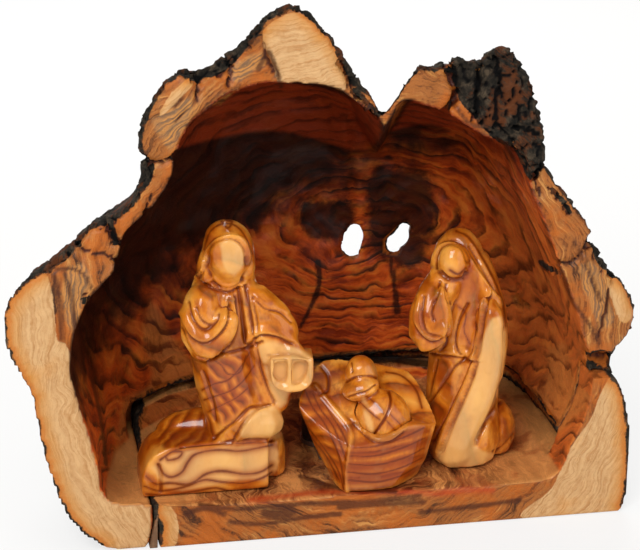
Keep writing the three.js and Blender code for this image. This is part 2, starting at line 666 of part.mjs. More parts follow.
// Pinned drum with its shaft and toothed wheel; the pins follow a steady spiral of golden-angle steps
function makeDrum() {
  const pitch = drumLength / combTeeth;
  const pins = [];
  for (let i = 0; i < combTeeth * 2; i += 1) {
    const along = drumStart + ((i % combTeeth) + 0.5) * pitch;
    const pin = box(
      along - pinWidth / 2, drumY - pinWidth / 2, drumZ,
      along + pinWidth / 2, drumY + pinWidth / 2, drumZ + drumRadius + pinHeight,
    );
    pins.push(pin
      .translate([0, -drumY, -drumZ])
      .rotate([i * 137.508, 0, 0])
      .translate([0, drumY, drumZ]));
  }
  const wheel = wheelOnX(
    toothedWheel(wheelModule, drumWheelTeeth, drumWheelWidth), drumWheelX - drumWheelWidth / 2,
    drumY, drumZ, 0,
  );
  return join([
    bar('x', drumRadius, drumStart, drumEnd, drumY, drumZ, 28),
    bar('x', drumShaftRadius, leftPostX - 0.2, rightPostX + postThick + 0.4, drumY, drumZ, 12),
    wheel,
    ...pins,
  ]);
}

function makeCan() {
  const foot = plateThick + glueGap;
  const profile = [
    [0, foot], [canRadius, foot], [canRadius, foot + canHeight - 1.6], [canRadius - 1.6, foot + canHeight],
    [3.2, foot + canHeight], [3.2, foot + canHeight + 0.8], [0, foot + canHeight + 0.8],
  ].map(([r, z]) => new THREE.Vector2(r, z));
  const geometry = new THREE.LatheGeometry(profile, 28);
  geometry.rotateX(Math.PI / 2);
  geometry.translate(canX, canY, 0);
  return solidOf(geometry).subtract(bar('z', arborRadius + runGap, foot - 1, foot + 4, canX, canY));
}

// Turning shaft from the spring down through the wood, and the key screwed on its end
const tableZ = -(floorTop + glueGap); // height of the table in the movement's frame
const keyBottom = tableZ + keyLift;

function makeArbor() {
  return bar('z', arborRadius, keyBottom + keyHeight / 2, plateThick + glueGap + 3.6, canX, canY);
}

function makeKey() {
  const half = keySpan / 2;
  const wing = new THREE.Shape();
  wing.moveTo(keyHubRadius - 1, 0.8);
  wing.bezierCurveTo(half * 0.45, -0.6, half * 1.02, -0.4, half, keyHeight / 2);
  wing.bezierCurveTo(
    half * 1.02, keyHeight + 0.4, half * 0.45, keyHeight + 0.6, keyHubRadius - 1, keyHeight - 0.8,
  );
  wing.closePath();
  const eye = new THREE.Path();
  eye.absellipse(half * 0.66, keyHeight / 2, half * 0.2, keyHeight * 0.26, 0, 2 * Math.PI, true);
  wing.holes.push(eye);
  const wingSolid = (turn) => {
    const geometry = new THREE.ExtrudeGeometry(wing, {
      depth: keyThick, bevelEnabled: false, curveSegments: 5,
    });
    geometry.translate(0, 0, -keyThick / 2);
    geometry.rotateX(Math.PI / 2);
    geometry.rotateZ(turn);
    geometry.translate(canX, canY, keyBottom);
    return solidOf(geometry);
  };
  const hub = bar('z', keyHubRadius, keyBottom, keyBottom + keyHeight, canX, canY);
  const socket = bar('z', arborRadius + glueGap, keyBottom + keyHeight / 2 - glueGap, 5, canX, canY);
  return join([hub, wingSolid(0), wingSolid(Math.PI)]).subtract(socket);
}

// Governor: pinion and worm wheel on one shaft, and a worm with two vanes that brakes on the air
function makeGovernorWheel() {
  const pinion = wheelOnX(
    toothedWheel(wheelModule, pinionTeeth, 1.6), drumWheelX - 0.8, governorY, drumZ,
    Math.PI / pinionTeeth,
  );
  const wheel = wheelOnX(
    toothedWheel(wormModule, wormWheelTeeth, 1), wormWheelX - 0.5, governorY, drumZ,
    Math.PI / wormWheelTeeth,
  );
  const shaft = bar('x', 0.7, drumEnd - 1, wormWheelX + 2.4, governorY, drumZ, 12);
  return join([pinion, wheel, shaft]);
}

function makeFly() {
  const lead = Math.PI * wormModule;
  const turns = 3;
  const sides = 8;
  const rings = [];
  const ringCount = turns * 7;
  for (let k = 0; k <= ringCount; k += 1) {
    const z = (k / ringCount - 0.5) * turns * lead;
    rings.push(Array.from({ length: sides }, (_, i) => {
      const angle = (2 * Math.PI * i) / sides;
      const phase = Math.sin(angle - (2 * Math.PI * z) / lead);
      const radius = wormPitchRadius - 0.4 + 0.7 * Math.max(0, phase - 0.25);
      return new THREE.Vector3(
        flyX + radius * Math.cos(angle), flyY + radius * Math.sin(angle), drumZ + z,
      );
    }));
  }
  const vane = (side) => box(
    flyX + (side < 0 ? -flyRadius : 0.2), flyY - 0.2, drumZ + 3.9,
    flyX + (side < 0 ? -0.2 : flyRadius), flyY + 0.2, drumZ + 7.2,
  );
  const shaft = bar('z', 0.5, plateThick + glueGap + 0.3, governorTop + 0.7, flyX, flyY, 12);
  return join([loft(rings), shaft, vane(-1), vane(1)]);
}

function makeGovernorFrame() {
  const foot = plateThick + glueGap;
  const leftCheek = drumEnd - 1.2;
  const rightCheek = wormWheelX + 1.3;
  const columnX = flyX + flyRadius + 0.5;
  const body = join([
    box(leftCheek, flyY - 1.4, foot, columnX + cheekThick, governorY + 1.2, foot + 1),
    box(leftCheek, governorY - 2.2, foot, leftCheek + cheekThick, governorY + 1.2, drumZ + 2),
    box(rightCheek, governorY - 2.4, foot, rightCheek + cheekThick, governorY + 2.4, drumZ + 2),
    box(columnX, flyY - 1.4, foot, columnX + cheekThick, flyY + 1.4, governorTop + 1),
    box(flyX - 1.4, flyY - 1.4, governorTop, columnX + cheekThick, flyY + 1.4, governorTop + 1),
  ]);
  return [
    bar('x', 0.7 + runGap, leftCheek - 1, rightCheek + 3, governorY, drumZ, 12),
    bar('z', 0.5 + runGap, foot - 1, governorTop + 3, flyX, flyY, 12),
  ].reduce((frame, hole) => frame.subtract(hole), body);
}

// Assembly
const scene = new THREE.Group();

function place(name, solid, material, parent = scene) {
  const mesh = new THREE.Mesh(geometryOf(solid), material);
  mesh.name = name;
  parent.add(mesh);
}

function groupAt([x, y]) {
  const group = new THREE.Group();
  group.position.set(x, y, floorTop + glueGap);
  scene.add(group);
  return group;
}

const log = makeLog();
const hollow = makeHollow();
const extent = log.boundingBox();
scene.position.x = -(extent.min[0] + extent.max[0]) / 2;
place('grotto_shell', makeShell(log, hollow), logWood);
place('base_log', makeBase(log, hollow), baseWood);
place('seam_wedge', seamWedge(0), fillerWood);

place('kneeling_man', makeMan(), figureWood, groupAt(manPlace));
place('kneeling_woman', makeWoman(), figureWood, groupAt(womanPlace));
const mangerGroup = groupAt(mangerPlace);
place('manger', makeManger(), mangerWood, mangerGroup);
place('infant', makeInfant(), infantWood, mangerGroup);

const movement = groupAt(plateCorner);
place('movement_plate', makePlate(), steel, movement);
place('music_comb', makeComb(), steel, movement);
combScrewPlaces.forEach((at, i) => {
  place(`comb_screw_${i + 1}`, makeCombScrew(at), steel, movement);
});
place('pinned_cylinder', makeDrum(), brass, movement);
place('spring_housing', makeCan(), darkSteel, movement);
movementScrewPlaces.forEach((at, i) => {
  place(`movement_screw_${i + 1}`, makeMovementScrew(at), steel, movement);
});
place('governor_frame', makeGovernorFrame(), brass, movement);
place('governor_wheel', makeGovernorWheel(), brass, movement);
place('governor_fly', makeFly(), steel, movement);
place('winding_arbor', makeArbor(), steel, movement);
place('winding_key', makeKey(), brass, movement);

export default scene;
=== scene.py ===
# Carved wooden nativity scene: the looks of the log, the figures and the musical movement
import json
import math
from types import SimpleNamespace

import bpy
import numpy as np
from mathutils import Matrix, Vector, noise
from mathutils.bvhtree import BVHTree
from mathutils.kdtree import KDTree

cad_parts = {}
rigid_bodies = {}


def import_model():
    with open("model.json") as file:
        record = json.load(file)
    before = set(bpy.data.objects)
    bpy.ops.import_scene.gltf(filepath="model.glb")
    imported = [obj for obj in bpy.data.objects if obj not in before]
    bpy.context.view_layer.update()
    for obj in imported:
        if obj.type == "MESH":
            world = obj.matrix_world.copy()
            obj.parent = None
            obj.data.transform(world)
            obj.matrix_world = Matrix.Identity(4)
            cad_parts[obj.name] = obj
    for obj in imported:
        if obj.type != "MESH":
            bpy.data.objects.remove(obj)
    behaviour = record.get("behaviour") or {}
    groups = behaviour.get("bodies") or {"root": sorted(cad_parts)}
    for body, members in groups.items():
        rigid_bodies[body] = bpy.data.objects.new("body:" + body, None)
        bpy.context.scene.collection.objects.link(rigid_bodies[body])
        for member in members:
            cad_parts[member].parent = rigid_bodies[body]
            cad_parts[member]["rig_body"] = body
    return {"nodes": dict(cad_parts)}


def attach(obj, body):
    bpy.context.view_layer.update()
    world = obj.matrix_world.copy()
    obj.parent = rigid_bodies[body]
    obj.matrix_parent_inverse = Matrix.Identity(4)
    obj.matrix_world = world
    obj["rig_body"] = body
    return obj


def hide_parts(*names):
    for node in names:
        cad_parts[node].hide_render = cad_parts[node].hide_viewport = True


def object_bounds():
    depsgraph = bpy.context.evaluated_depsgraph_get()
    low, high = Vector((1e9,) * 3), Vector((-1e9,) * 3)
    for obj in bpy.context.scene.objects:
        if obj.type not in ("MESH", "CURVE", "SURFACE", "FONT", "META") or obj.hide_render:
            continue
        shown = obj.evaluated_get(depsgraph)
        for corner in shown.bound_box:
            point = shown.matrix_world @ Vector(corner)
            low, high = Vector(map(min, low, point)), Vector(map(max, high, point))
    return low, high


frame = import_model()
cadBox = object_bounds()
print("frame loaded")

mm = 0.001

# The front view: strokes that carve and stain the wood are placed in its picture, in pixels
frontView = {
    "azimuth": -10, "elevation": 20, "distance": 0.85, "target": (0.0020, -0.030, 0.0958),
    "focalPixels": 2190, "width": 640, "height": 550, "sensor": 36, "clip": 0.01,
}


def viewAxes():
    turn, rise = math.radians(frontView["azimuth"]), math.radians(frontView["elevation"])
    back = Vector((math.sin(turn) * math.cos(rise), -math.cos(turn) * math.cos(rise), math.sin(rise)))
    right = Vector((0, 0, 1)).cross(back).normalized()
    return right, back.cross(right), back


def makeCamera():
    back = viewAxes()[2]
    camera = bpy.data.objects.new("camera", bpy.data.cameras.new("camera"))
    bpy.context.scene.collection.objects.link(camera)
    camera.location = Vector(frontView["target"]) + back * frontView["distance"]
    camera.rotation_mode = "QUATERNION"
    camera.rotation_quaternion = back.to_track_quat("Z", "Y")
    camera.data.sensor_width = frontView["sensor"]
    camera.data.lens = frontView["sensor"] * frontView["focalPixels"] / frontView["width"]
    camera.data.clip_start = frontView["clip"]
    bpy.context.scene.camera = camera


# Where each point lands in the front view, in pixels
def pictureSpots(points):
    right, up, back = (np.array(axis) for axis in viewAxes())
    eye = np.array(frontView["target"]) + back * frontView["distance"]
    away = points - eye
    reach = frontView["focalPixels"] / -(away @ back)
    return np.stack([
        frontView["width"] / 2 + (away @ right) * reach,
        frontView["height"] / 2 - (away @ up) * reach,
    ], axis=1)


# Shader building: a wire carries a socket, and sums of wires become Math nodes
class Wire:
    def __init__(self, finish, socket):
        self.finish = finish
        self.socket = socket

    def __add__(self, other):
        return self.finish.maths("ADD", self, other)

    def __mul__(self, other):
        return self.finish.maths("MULTIPLY", self, other)

    def __sub__(self, other):
        return self.finish.maths("SUBTRACT", self, other)

    def __rsub__(self, other):
        return self.finish.maths("SUBTRACT", other, self)

    def __truediv__(self, other):
        return self.finish.maths("DIVIDE", self, other)

    __radd__, __rmul__ = __add__, __mul__


# A colour given in sRGB, as the shaders take it
def tint(red, green, blue):
    linear = [((c / 255 + 0.055) / 1.055) ** 2.4 if c > 10 else c / 255 / 12.92 for c in (red, green, blue)]
    return (*linear, 1)


def tones(colours):
    return SimpleNamespace(**{name: tint(*colour) for name, colour in colours.items()})


class Finish:
    def __init__(self, name, constants):
        self.material = bpy.data.materials.new(name)
        self.material.use_nodes = True
        self.tree = self.material.node_tree
        self.shader = self.tree.nodes["Principled BSDF"]
        for socket, value in constants.items():
            self.shader.inputs[socket].default_value = value
        self.place = self.node("TexCoord", output="Object")

    def node(self, kind, settings=None, inputs=None, output=0):
        made = self.tree.nodes.new("ShaderNode" + kind)
        for name, value in (settings or {}).items():
            if name == "stops":
                self.setStops(made.color_ramp, value)
            else:
                setattr(made, name, value)
        for name, value in (inputs or {}).items():
            self.plug(made.inputs[name], value)
        return Wire(self, made.outputs[output])

    def setStops(self, ramp, stops):
        while len(ramp.elements) < len(stops):
            ramp.elements.new(1)
        for element, (place, colour) in zip(ramp.elements, stops):
            element.position = place
            element.color = colour

    def plug(self, socket, value):
        if isinstance(value, Wire):
            self.tree.links.new(value.socket, socket)
        else:
            socket.default_value = value

    def feed(self, wires):
        for socket, wire in wires.items():
            self.plug(self.shader.inputs[socket], wire)

    def mark(self, name):
        return self.node("Attribute", {"attribute_name": name}, output="Fac")

    def ramp(self, factor, stops):
        return self.node("ValToRGB", {"stops": stops}, {0: factor})

    def blend(self, factor, first, second, kind="MIX"):
        return self.node("Mix", {"data_type": "RGBA", "blend_type": kind}, {0: factor, 6: first, 7: second}, 2)

    def darken(self, factor, first, second):
        return self.blend(factor, first, second, "MULTIPLY")

    def smooth(self, wire, low, high):
        return self.node(
            "MapRange", {"interpolation_type": "SMOOTHSTEP"},
            {"Value": wire, "From Min": low, "From Max": high, "To Min": 0.0, "To Max": 1.0},
        )

    def vectors(self, operation, first, second):
        return self.node("VectorMath", {"operation": operation}, {0: first, 1: second})

    # Noise whose blotches are about size millimetres across
    def noise(self, size, detail=3.0, rough=0.55, place=None, output=0):
        return self.node(
            "TexNoise", {}, {"Vector": place or self.place, "Scale": 1 / (size * mm), "Detail": detail,
                             "Roughness": rough}, output,
        )

    # The place, pushed about by noise: amount millimetres at blotches of size millimetres
    def warped(self, size, amount, place=None):
        push = self.vectors("SUBTRACT", self.noise(size, 2.0, place=place, output=1), (0.5, 0.5, 0.5))
        scaled = self.vectors("MULTIPLY", push, (amount * mm,) * 3)
        return self.vectors("ADD", place or self.place, scaled)

    # Distance from a growth centre, in millimetres, with each axis squeezed by its own share
    def ringDistance(self, centre, shares, place):
        away = self.vectors("SUBTRACT", place, tuple(c * mm for c in centre))
        squeezed = self.vectors("MULTIPLY", away, tuple(s / mm for s in shares))
        return self.node("VectorMath", {"operation": "LENGTH"}, {0: squeezed}, 1)

    # Coordinates that follow rings about a centre line: across them, along them and in depth, in millimetres
    def ringFibres(self, centre, rings, across, along, place):
        radius = 60
        away = self.vectors("SUBTRACT", place, tuple(c * mm for c in centre))
        sideways, depth, upward = (self.node("SeparateXYZ", {}, {0: away}, i) for i in range(3))
        angle = self.maths("ARCTAN2", upward, sideways)
        return self.node("CombineXYZ", {}, {
            0: rings / across, 1: angle * (radius / along), 2: depth * (1 / mm / along),
        })

    def maths(self, operation, first, second):
        return self.node("Math", {"operation": operation}, {0: first, 1: second})

    def streaks(self, fibres, detail=5.0, rough=0.6):
        return self.noise(1 / mm, detail, rough, fibres)

    def fraction(self, wire):
        return self.node("Math", {"operation": "FRACT"}, {0: wire})

    def bump(self, height, distance, strength=1.0, normal=None):
        inputs = {"Height": height, "Distance": distance * mm, "Strength": strength}
        if normal:
            inputs["Normal"] = normal
        return self.node("Bump", {}, inputs)


# Selection and modifier helpers
def only(piece):
    bpy.ops.object.select_all(action="DESELECT")
    piece.select_set(True)
    bpy.context.view_layer.objects.active = piece


def applyModifier(piece, kind, settings):
    only(piece)
    modifier = piece.modifiers.new(kind.lower(), kind)
    for name, value in settings.items():
        setattr(modifier, name, value)
    bpy.ops.object.modifier_apply(modifier=modifier.name)


# A rounded, finely meshed copy of a plain solid, ready to be carved
def carvingBlank(node, name, recipe):
    source = frame["nodes"][node]
    piece = bpy.data.objects.new(name, source.data.copy())
    bpy.context.scene.collection.objects.link(piece)
    only(piece)
    bpy.ops.object.mode_set(mode="EDIT")
    bpy.ops.mesh.select_all(action="SELECT")
    bpy.ops.mesh.remove_doubles(threshold=1e-6)
    bpy.ops.object.mode_set(mode="OBJECT")
    piece.data.materials.clear()
    applyModifier(piece, "REMESH", {"mode": "VOXEL", "voxel_size": recipe["grain"] * mm})
    applyModifier(piece, "SMOOTH", {"factor": 0.5, "iterations": recipe["rounding"]})
    bpy.ops.object.shade_smooth()
    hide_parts(node)
    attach(piece, source["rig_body"])
    return piece


def readVectors(items, name):
    values = np.empty(len(items) * 3, np.float32)
    items.foreach_get(name, values)
    return values.reshape(-1, 3).astype(float)


def readPlaces(piece):
    return readVectors(piece.data.vertices, "co")


def readNormals(piece):
    return readVectors(piece.data.vertex_normals, "vector")


def writePlaces(piece, places):
    piece.data.vertices.foreach_set("co", places.astype(np.float32).ravel())
    piece.data.update()


def writeMark(piece, name, values):
    marks = piece.data.attributes.get(name) or piece.data.attributes.new(name, "FLOAT", "POINT")
    marks.data.foreach_set("value", values.astype(np.float32))


def smoothstep(values, low, high):
    share = np.clip((values - low) / (high - low), 0, 1)
    return share * share * (3 - 2 * share)


# A drawn line, x,y of each point in turn, made smooth by a Catmull-Rom spline through them
def smoothLine(points, between=5):
    points = np.array(points, float).reshape(-1, 2)
    if len(points) < 3:
        return points
    ends = np.concatenate([[2 * points[0] - points[1]], points, [2 * points[-1] - points[-2]]])
    found = []
    for before, start, end, after in zip(ends[:-3], ends[1:-2], ends[2:-1], ends[3:]):
        for t in np.arange(between) / between:
            found.append(0.5 * (
                2 * start + (end - before) * t + (2 * before - 5 * start + 4 * end - after) * t ** 2
                + (3 * start - before - 3 * end + after) * t ** 3
            ))
    return np.array([*found, points[-1]])


# Further off than any spot of the picture
farAway = 1e3


# The run between two points, and the step to each spot from the nearest place on it
def stepAway(spots, start, end):
    run = end - start
    share = np.clip(((spots - start) @ run) / max(run @ run, 1e-9), 0, 1)
    return run, (spots - (start + share[:, None] * run)).T


# Distance of each spot to a line, signed: positive on the right of its run, as seen in the picture
def lineDistance(spots, line, reach):
    line = smoothLine(line)
    found = np.full(len(spots), farAway)
    low, high = line.min(0) - reach, line.max(0) + reach
    near = np.flatnonzero(((spots > low) & (spots < high)).all(1))
    close = spots[near]
    best = np.full(len(near), farAway)
    for start, end in zip(line[:-1], line[1:]):
        run, off = stepAway(close, start, end)
        away = np.hypot(*off)
        side = np.where(run[0] * off[1] - run[1] * off[0] < 0, -1, 1)
        best = np.where(away < np.abs(best), away * side, best)
    found[near] = best
    return found


# How far each spot lies inside a closed outline, in pixels, negative outside
def insideDistance(spots, outline):
    outline = smoothLine([*outline, *outline[:2]], 4)
    away = np.full(len(spots), farAway)
    inside = np.zeros(len(spots), bool)
    for start, end in zip(outline[:-1], outline[1:]):
        run, off = stepAway(spots, start, end)
        away = np.minimum(away, np.hypot(*off))
        crosses = (start[1] > spots[:, 1]) != (end[1] > spots[:, 1])
        slope = run[0] / run[1] if run[1] else 0
        inside ^= crosses & (spots[:, 0] < start[0] + (spots[:, 1] - start[1]) * slope)
    return np.where(inside, away, -away)


# How strokes are shaped, in shares of their width, and how they fade where the surface turns away
strokeShape = {
    "turnFade": 0.35, "lineReach": 2.2, "lineHalf": 0.6, "sinkFrom": -0.3, "sinkTo": 0.7,
    "foldReach": 3.2, "foldLip": 0.25, "foldFade": 3, "dipPlace": 0.35, "dipHalf": 0.45, "dipDepth": 0.45,
    "stainReach": 3, "stainHalf": 0.7, "stainFrom": -0.2, "stainTo": 0.1, "haloShare": 3.2,
}


# Carving strokes: a groove or ridge follows its line, and a fold stands proud on one side of it
def carve(piece, strokes, turned=0.0, depth=1.0):
    shape = SimpleNamespace(**strokeShape)
    places, normals = readPlaces(piece), readNormals(piece)
    spots = pictureSpots(places)
    facing = smoothstep(normals @ np.array(viewAxes()[2]), turned, turned + shape.turnFade)
    facing = facing * (places[:, 1] < cadBox[0].y + depth)
    move = np.zeros(len(places))
    for kind, height, width, *line in ((kind, *stroke) for kind in strokes for stroke in strokes[kind]):
        if kind == "fold":
            side = lineDistance(spots, line, shape.foldReach * width)
            near = np.abs(side) < farAway
            lip = shape.foldLip * width
            raised = smoothstep(side, -lip, lip) * (1 - smoothstep(side, 0, shape.foldFade * width))
            dip = np.exp(-((side + shape.dipPlace * width) / (shape.dipHalf * width)) ** 2)
            move += np.where(near, height * (raised - shape.dipDepth * dip), 0)
        elif kind == "sink":
            inside = insideDistance(spots, line)
            move -= height * smoothstep(inside, shape.sinkFrom * width, shape.sinkTo * width)
        else:
            away = np.abs(lineDistance(spots, line, shape.lineReach * width))
            sign = 1 if kind == "ridge" else -1
            move += sign * height * np.exp(-(away / (shape.lineHalf * width)) ** 2)
    writePlaces(piece, places + normals * (move * facing * mm)[:, None])


# How strongly drawn lines and patches cover each spot
def drawnShare(spots, strokes, half=1.0):
    share = np.zeros(len(spots))
    for width, *points in strokes.get("line", []):
        away = lineDistance(spots, points, strokeShape["stainReach"] * width)
        share = np.maximum(share, np.exp(-(away / (half * width)) ** 2))
    for width, *points in strokes.get("patch", []):
        share = np.maximum(share, smoothstep(insideDistance(spots, points), -width, width))
    return share


# Stains are kept on the vertices under a name
def stain(piece, name, strokes):
    turn = readNormals(piece) @ np.array(viewAxes()[2])
    facing = smoothstep(turn, strokeShape["stainFrom"], strokeShape["stainTo"])
    spots = pictureSpots(readPlaces(piece))
    writeMark(piece, name, drawnShare(spots, strokes, strokeShape["stainHalf"]) * facing)


# Bends of the surface, in shares of a millimetre, between which each mark grows from none to full
bendMarks = {"crease": (0.05, 0.34), "edge": (0.12, 0.5), "pool": (0.01, 0.16), "varnishPoolAndShadePasses": 4}


# Where the surface is hollowed, closely and broadly, and where it is an edge: marks for the painted shade in
# hollows and the painted highlight on edges
def markCreases(piece, grain, passes=3):
    places, normals = readPlaces(piece), readNormals(piece)
    count = len(places)
    edges = np.empty(len(piece.data.edges) * 2, np.int32)
    piece.data.edges.foreach_get("vertices", edges)
    edges = edges.reshape(-1, 2)
    ends = np.concatenate([edges, edges[:, ::-1]])
    valence = np.maximum(np.bincount(ends[:, 0], minlength=count), 1)

    def around(values):
        return np.bincount(ends[:, 0], weights=values[ends[:, 1]], minlength=count) / valence

    middle = np.stack([around(places[:, axis]) for axis in range(3)], axis=1)
    bend = 2 * ((middle - places) * normals).sum(1) / mm / grain ** 2
    for _ in range(passes):
        bend = 0.5 * bend + 0.5 * around(bend)
    writeMark(piece, "crease", smoothstep(bend, *bendMarks["crease"]))
    writeMark(piece, "edge", smoothstep(-bend, *bendMarks["edge"]))
    for _ in range(bendMarks["varnishPoolAndShadePasses"] * passes):
        bend = 0.5 * bend + 0.5 * around(bend)
    writeMark(piece, "pool", smoothstep(bend, *bendMarks["pool"]))


# Lights, each with its place, size and power, floor and backdrop
studio = {
    "keyLamp": ((-0.55, -1.05, 1.05), 0.7, 15), "fillLamp": ((0.9, -0.9, 0.5), 1.0, 4),
    "rimLamp": ((0.1, 0.9, 0.9), 0.8, 8),
    "skyStrength": 0.36, "white": (1, 1, 1, 1),
    "floorColour": (246, 244, 240), "floorSize": 6, "floorDrop": 0.0003, "floorGlow": 0.72,
}


def addLamp(name, place, size, power):
    lamp = bpy.data.objects.new(name, bpy.data.lights.new(name, "AREA"))
    bpy.context.scene.collection.objects.link(lamp)
    lamp.data.size = size
    lamp.data.energy = power
    lamp.location = place
    lamp.rotation_euler = (Vector(place) - Vector(frontView["target"])).to_track_quat("Z", "Y").to_euler()


def makeStudio():
    for name in ("keyLamp", "fillLamp", "rimLamp"):
        addLamp(name, *studio[name])
    world = bpy.data.worlds.new("studioAir")
    world.use_nodes = True
    bpy.context.scene.world = world
    tree = world.node_tree
    path = tree.nodes.new("ShaderNodeLightPath")
    strength = tree.nodes.new("ShaderNodeMapRange")
    strength.inputs["To Min"].default_value = studio["skyStrength"]
    strength.inputs["To Max"].default_value = 1.0
    tree.links.new(path.outputs["Is Camera Ray"], strength.inputs["Value"])
    tree.links.new(strength.outputs["Result"], tree.nodes["Background"].inputs["Strength"])
    tree.nodes["Background"].inputs["Color"].default_value = studio["white"]
    bpy.context.scene.view_settings.view_transform = "Standard"


def makeFloor():
    bpy.ops.object.select_all(action="DESELECT")
    bpy.ops.mesh.primitive_plane_add(size=studio["floorSize"], location=(0, 0, -studio["floorDrop"]))
    floor = bpy.context.object
    floor.name = "studioFloor"
    finish = Finish("floorPaper", {
        "Roughness": 0.9, "Specular IOR Level": 0.0, "Base Color": tint(*studio["floorColour"]),
    })
    path = finish.node("LightPath", output="Is Camera Ray")
    glow = finish.node("Emission", {}, {"Color": studio["white"], "Strength": 1.0})
    paper = Wire(finish, finish.shader.outputs[0])
    mixed = finish.node("MixShader", {}, {0: path * studio["floorGlow"], 1: paper, 2: glow})
    output = finish.tree.nodes["Material Output"]
    finish.tree.links.new(mixed.socket, output.inputs["Surface"])
    floor.data.materials.append(finish.material)


makeCamera()
makeStudio()
makeFloor()
print("studio ready")

# The log and its base: how finely they are meshed, and which turns and places count as what
logShape = {
    "grottoGrain": 1.35, "baseGrain": 1.0, "rounding": 4, "baseWear": 0.35,
    "heart": (0.020, 0.0, 0.085), "heartSquash": 0.6, "sawnDepth": 0.018, "sawnTurn": -0.62,
    "outsideTurn": 0.12, "hollowTurn": 0.05, "hollowDepth": 3, "underside": 0.002,
    "stageTurn": (0.45, 0.7), "stageTop": 0.03, "cutTurn": -0.5, "cutDepth": 0.045,
}

# They share one wood: sawn sapwood, rough weathered wood, bark and a dark hollow, with colours for painted
# shade in crevices and under the roof
logWood = {
    "sapwood": (218, 174, 122), "sapwoodShade": (182, 128, 74), "cambium": (196, 112, 36),
    "sapGold": (208, 140, 62), "stage": (132, 76, 38), "stagePale": (228, 156, 86), "stageRed": (146, 58, 20),
    "rough": (166, 98, 42), "roughPale": (206, 142, 74), "roughDark": (70, 36, 14), "roughWarm": (190, 98, 24),
    "roughLine": (120, 78, 50), "roughCrease": (112, 74, 50), "grey": (124, 98, 72),
    "barkDark": (18, 16, 12), "barkMid": (42, 36, 28), "barkPale": (86, 72, 56), "barkBrown": (122, 62, 24),
    "barkCrease": (44, 38, 34), "wall": (214, 88, 24), "wallShade": (142, 48, 12), "wallLine": (30, 9, 4),
    "wallPale": (206, 130, 62), "wallTan": (128, 64, 26), "wallWarm": (238, 128, 42),
    "wallBrow": (138, 48, 16), "wallBlack": (14, 5, 3), "wallCrease": (90, 60, 48),
    "vein": (70, 30, 12), "blush": (186, 62, 22),
}


# How far each point of one set lies from another set, in millimetres
def gaps(places, others):
    tree = KDTree(len(others))
    for index, place in enumerate(others):
        tree.insert(place, index)
    tree.balance()
    return np.array([tree.find(place)[2] for place in places]) / mm


# Which part of the log a vertex belongs to, and how far it lies from the bark
def markLog(piece):
    shape = SimpleNamespace(**logShape)
    places, normals = readPlaces(piece), readNormals(piece)
    away = places - np.array(shape.heart)
    away[:, 1] *= shape.heartSquash
    outward = (normals * away).sum(1) / np.linalg.norm(away, axis=1)
    front = cadBox[0].y + shape.sawnDepth
    sawn = (normals[:, 1] < shape.sawnTurn) & (places[:, 1] < front)
    outside = (outward > shape.outsideTurn) & ~sawn & (places[:, 2] > shape.underside)
    depth = gaps(places, places[outside])
    depth[outside] = 0
    hollow = (outward < shape.hollowTurn) & ~sawn & (depth > shape.hollowDepth)
    stage = smoothstep(normals[:, 2], *shape.stageTurn) * (places[:, 2] < shape.stageTop) * ~sawn
    hollow |= stage > 0.5
    for name, values in (("barkDepth", depth), ("outside", outside), ("stage", stage), ("hollow", hollow)):
        writeMark(piece, name, values.astype(float))
    return outside, hollow


# How deep the bark, the weathered face and the gouged hollow are worn, in millimetres and shares
logWear = {
    "plateSize": 6.5, "plateStretch": 0.55, "plateDepth": 2.2, "plateGap": 0.22, "gapCurve": 1.5,
    "plateBend": 1.7, "plateBendDepth": 0.35, "crustDepth": 1.2, "crustSize": 2.6, "crustFrom": 0.3,
    "crustReach": 0.03, "base": 0.6, "fibreSize": 2.4, "fibreDepth": 0.55, "fibreLift": 0.7, "fibreTurns": 12,
    "fibreLength": 12, "lumpSize": 14, "lumpDepth": 0.65, "hollowLump": 0.4, "gougeSize": 7.5,
    "gougeDepth": 0.55, "gougeHalf": 0.6, "gougeStretch": (0.8, 0.5), "calm": 0.25, "noiseRise": 0.8,
    "footFade": (0.5, 4), "seamFade": (1.5, 7), "rayStart": 0.0002, "thickShare": 0.24, "thickest": 999,
}

# Deep clefts between the crags of the rim, and the lumps beside them, in pixels of the front view: height
# in millimetres, width, then x,y of each point
logCuts = {"groove": [
    (5, 5, 446,60, 452,76, 457,92, 452,104, 441,116), (4, 4, 479,56, 479,80, 477,104, 474,122),
    (2.6, 3.5, 494,54, 500,80, 496,104, 498,124), (2.4, 3.5, 510,127, 524,129, 540,134),
    (2.6, 4, 382,112, 384,92, 394,76, 404,66), (3, 4, 192,70, 200,84, 196,100),
    (2.6, 3.5, 226,58, 232,72, 228,86), (2.4, 3.5, 262,44, 266,60, 276,76),
    (3, 4, 140,156, 152,164, 166,162, 178,154), (2.4, 3, 104,222, 114,238, 126,244, 140,236),
    (2, 3, 72,236, 84,250, 104,254, 120,262), (2, 3, 152,196, 146,212, 150,224),
    (2.4, 3.5, 545,164, 536,176, 540,196), (2.6, 3.5, 592,236, 584,250, 572,262, 556,262),
    (2.2, 3.5, 616,268, 610,290, 606,312, 600,336), (2.2, 3, 338,62, 350,78, 356,96, 372,112),
], "ridge": [
    (1.2, 6, 152,150, 164,132, 176,112, 192,98), (1, 5, 470,108, 498,118, 520,140, 536,164),
    (1, 5, 556,214, 572,240, 590,262, 600,290),
]}


# How thick the wood is under each vertex, in millimetres
def wallThickness(piece):
    tree = BVHTree.FromObject(piece, bpy.context.evaluated_depsgraph_get())
    start = logWear["rayStart"]
    thick = []
    for place, normal in zip(readPlaces(piece), readNormals(piece)):
        inward = -Vector(normal)
        reach = tree.ray_cast(Vector(place) + inward * start, inward)[3]
        thick.append(logWear["thickest"] if reach is None else (reach + start) / mm)
    return np.array(thick)


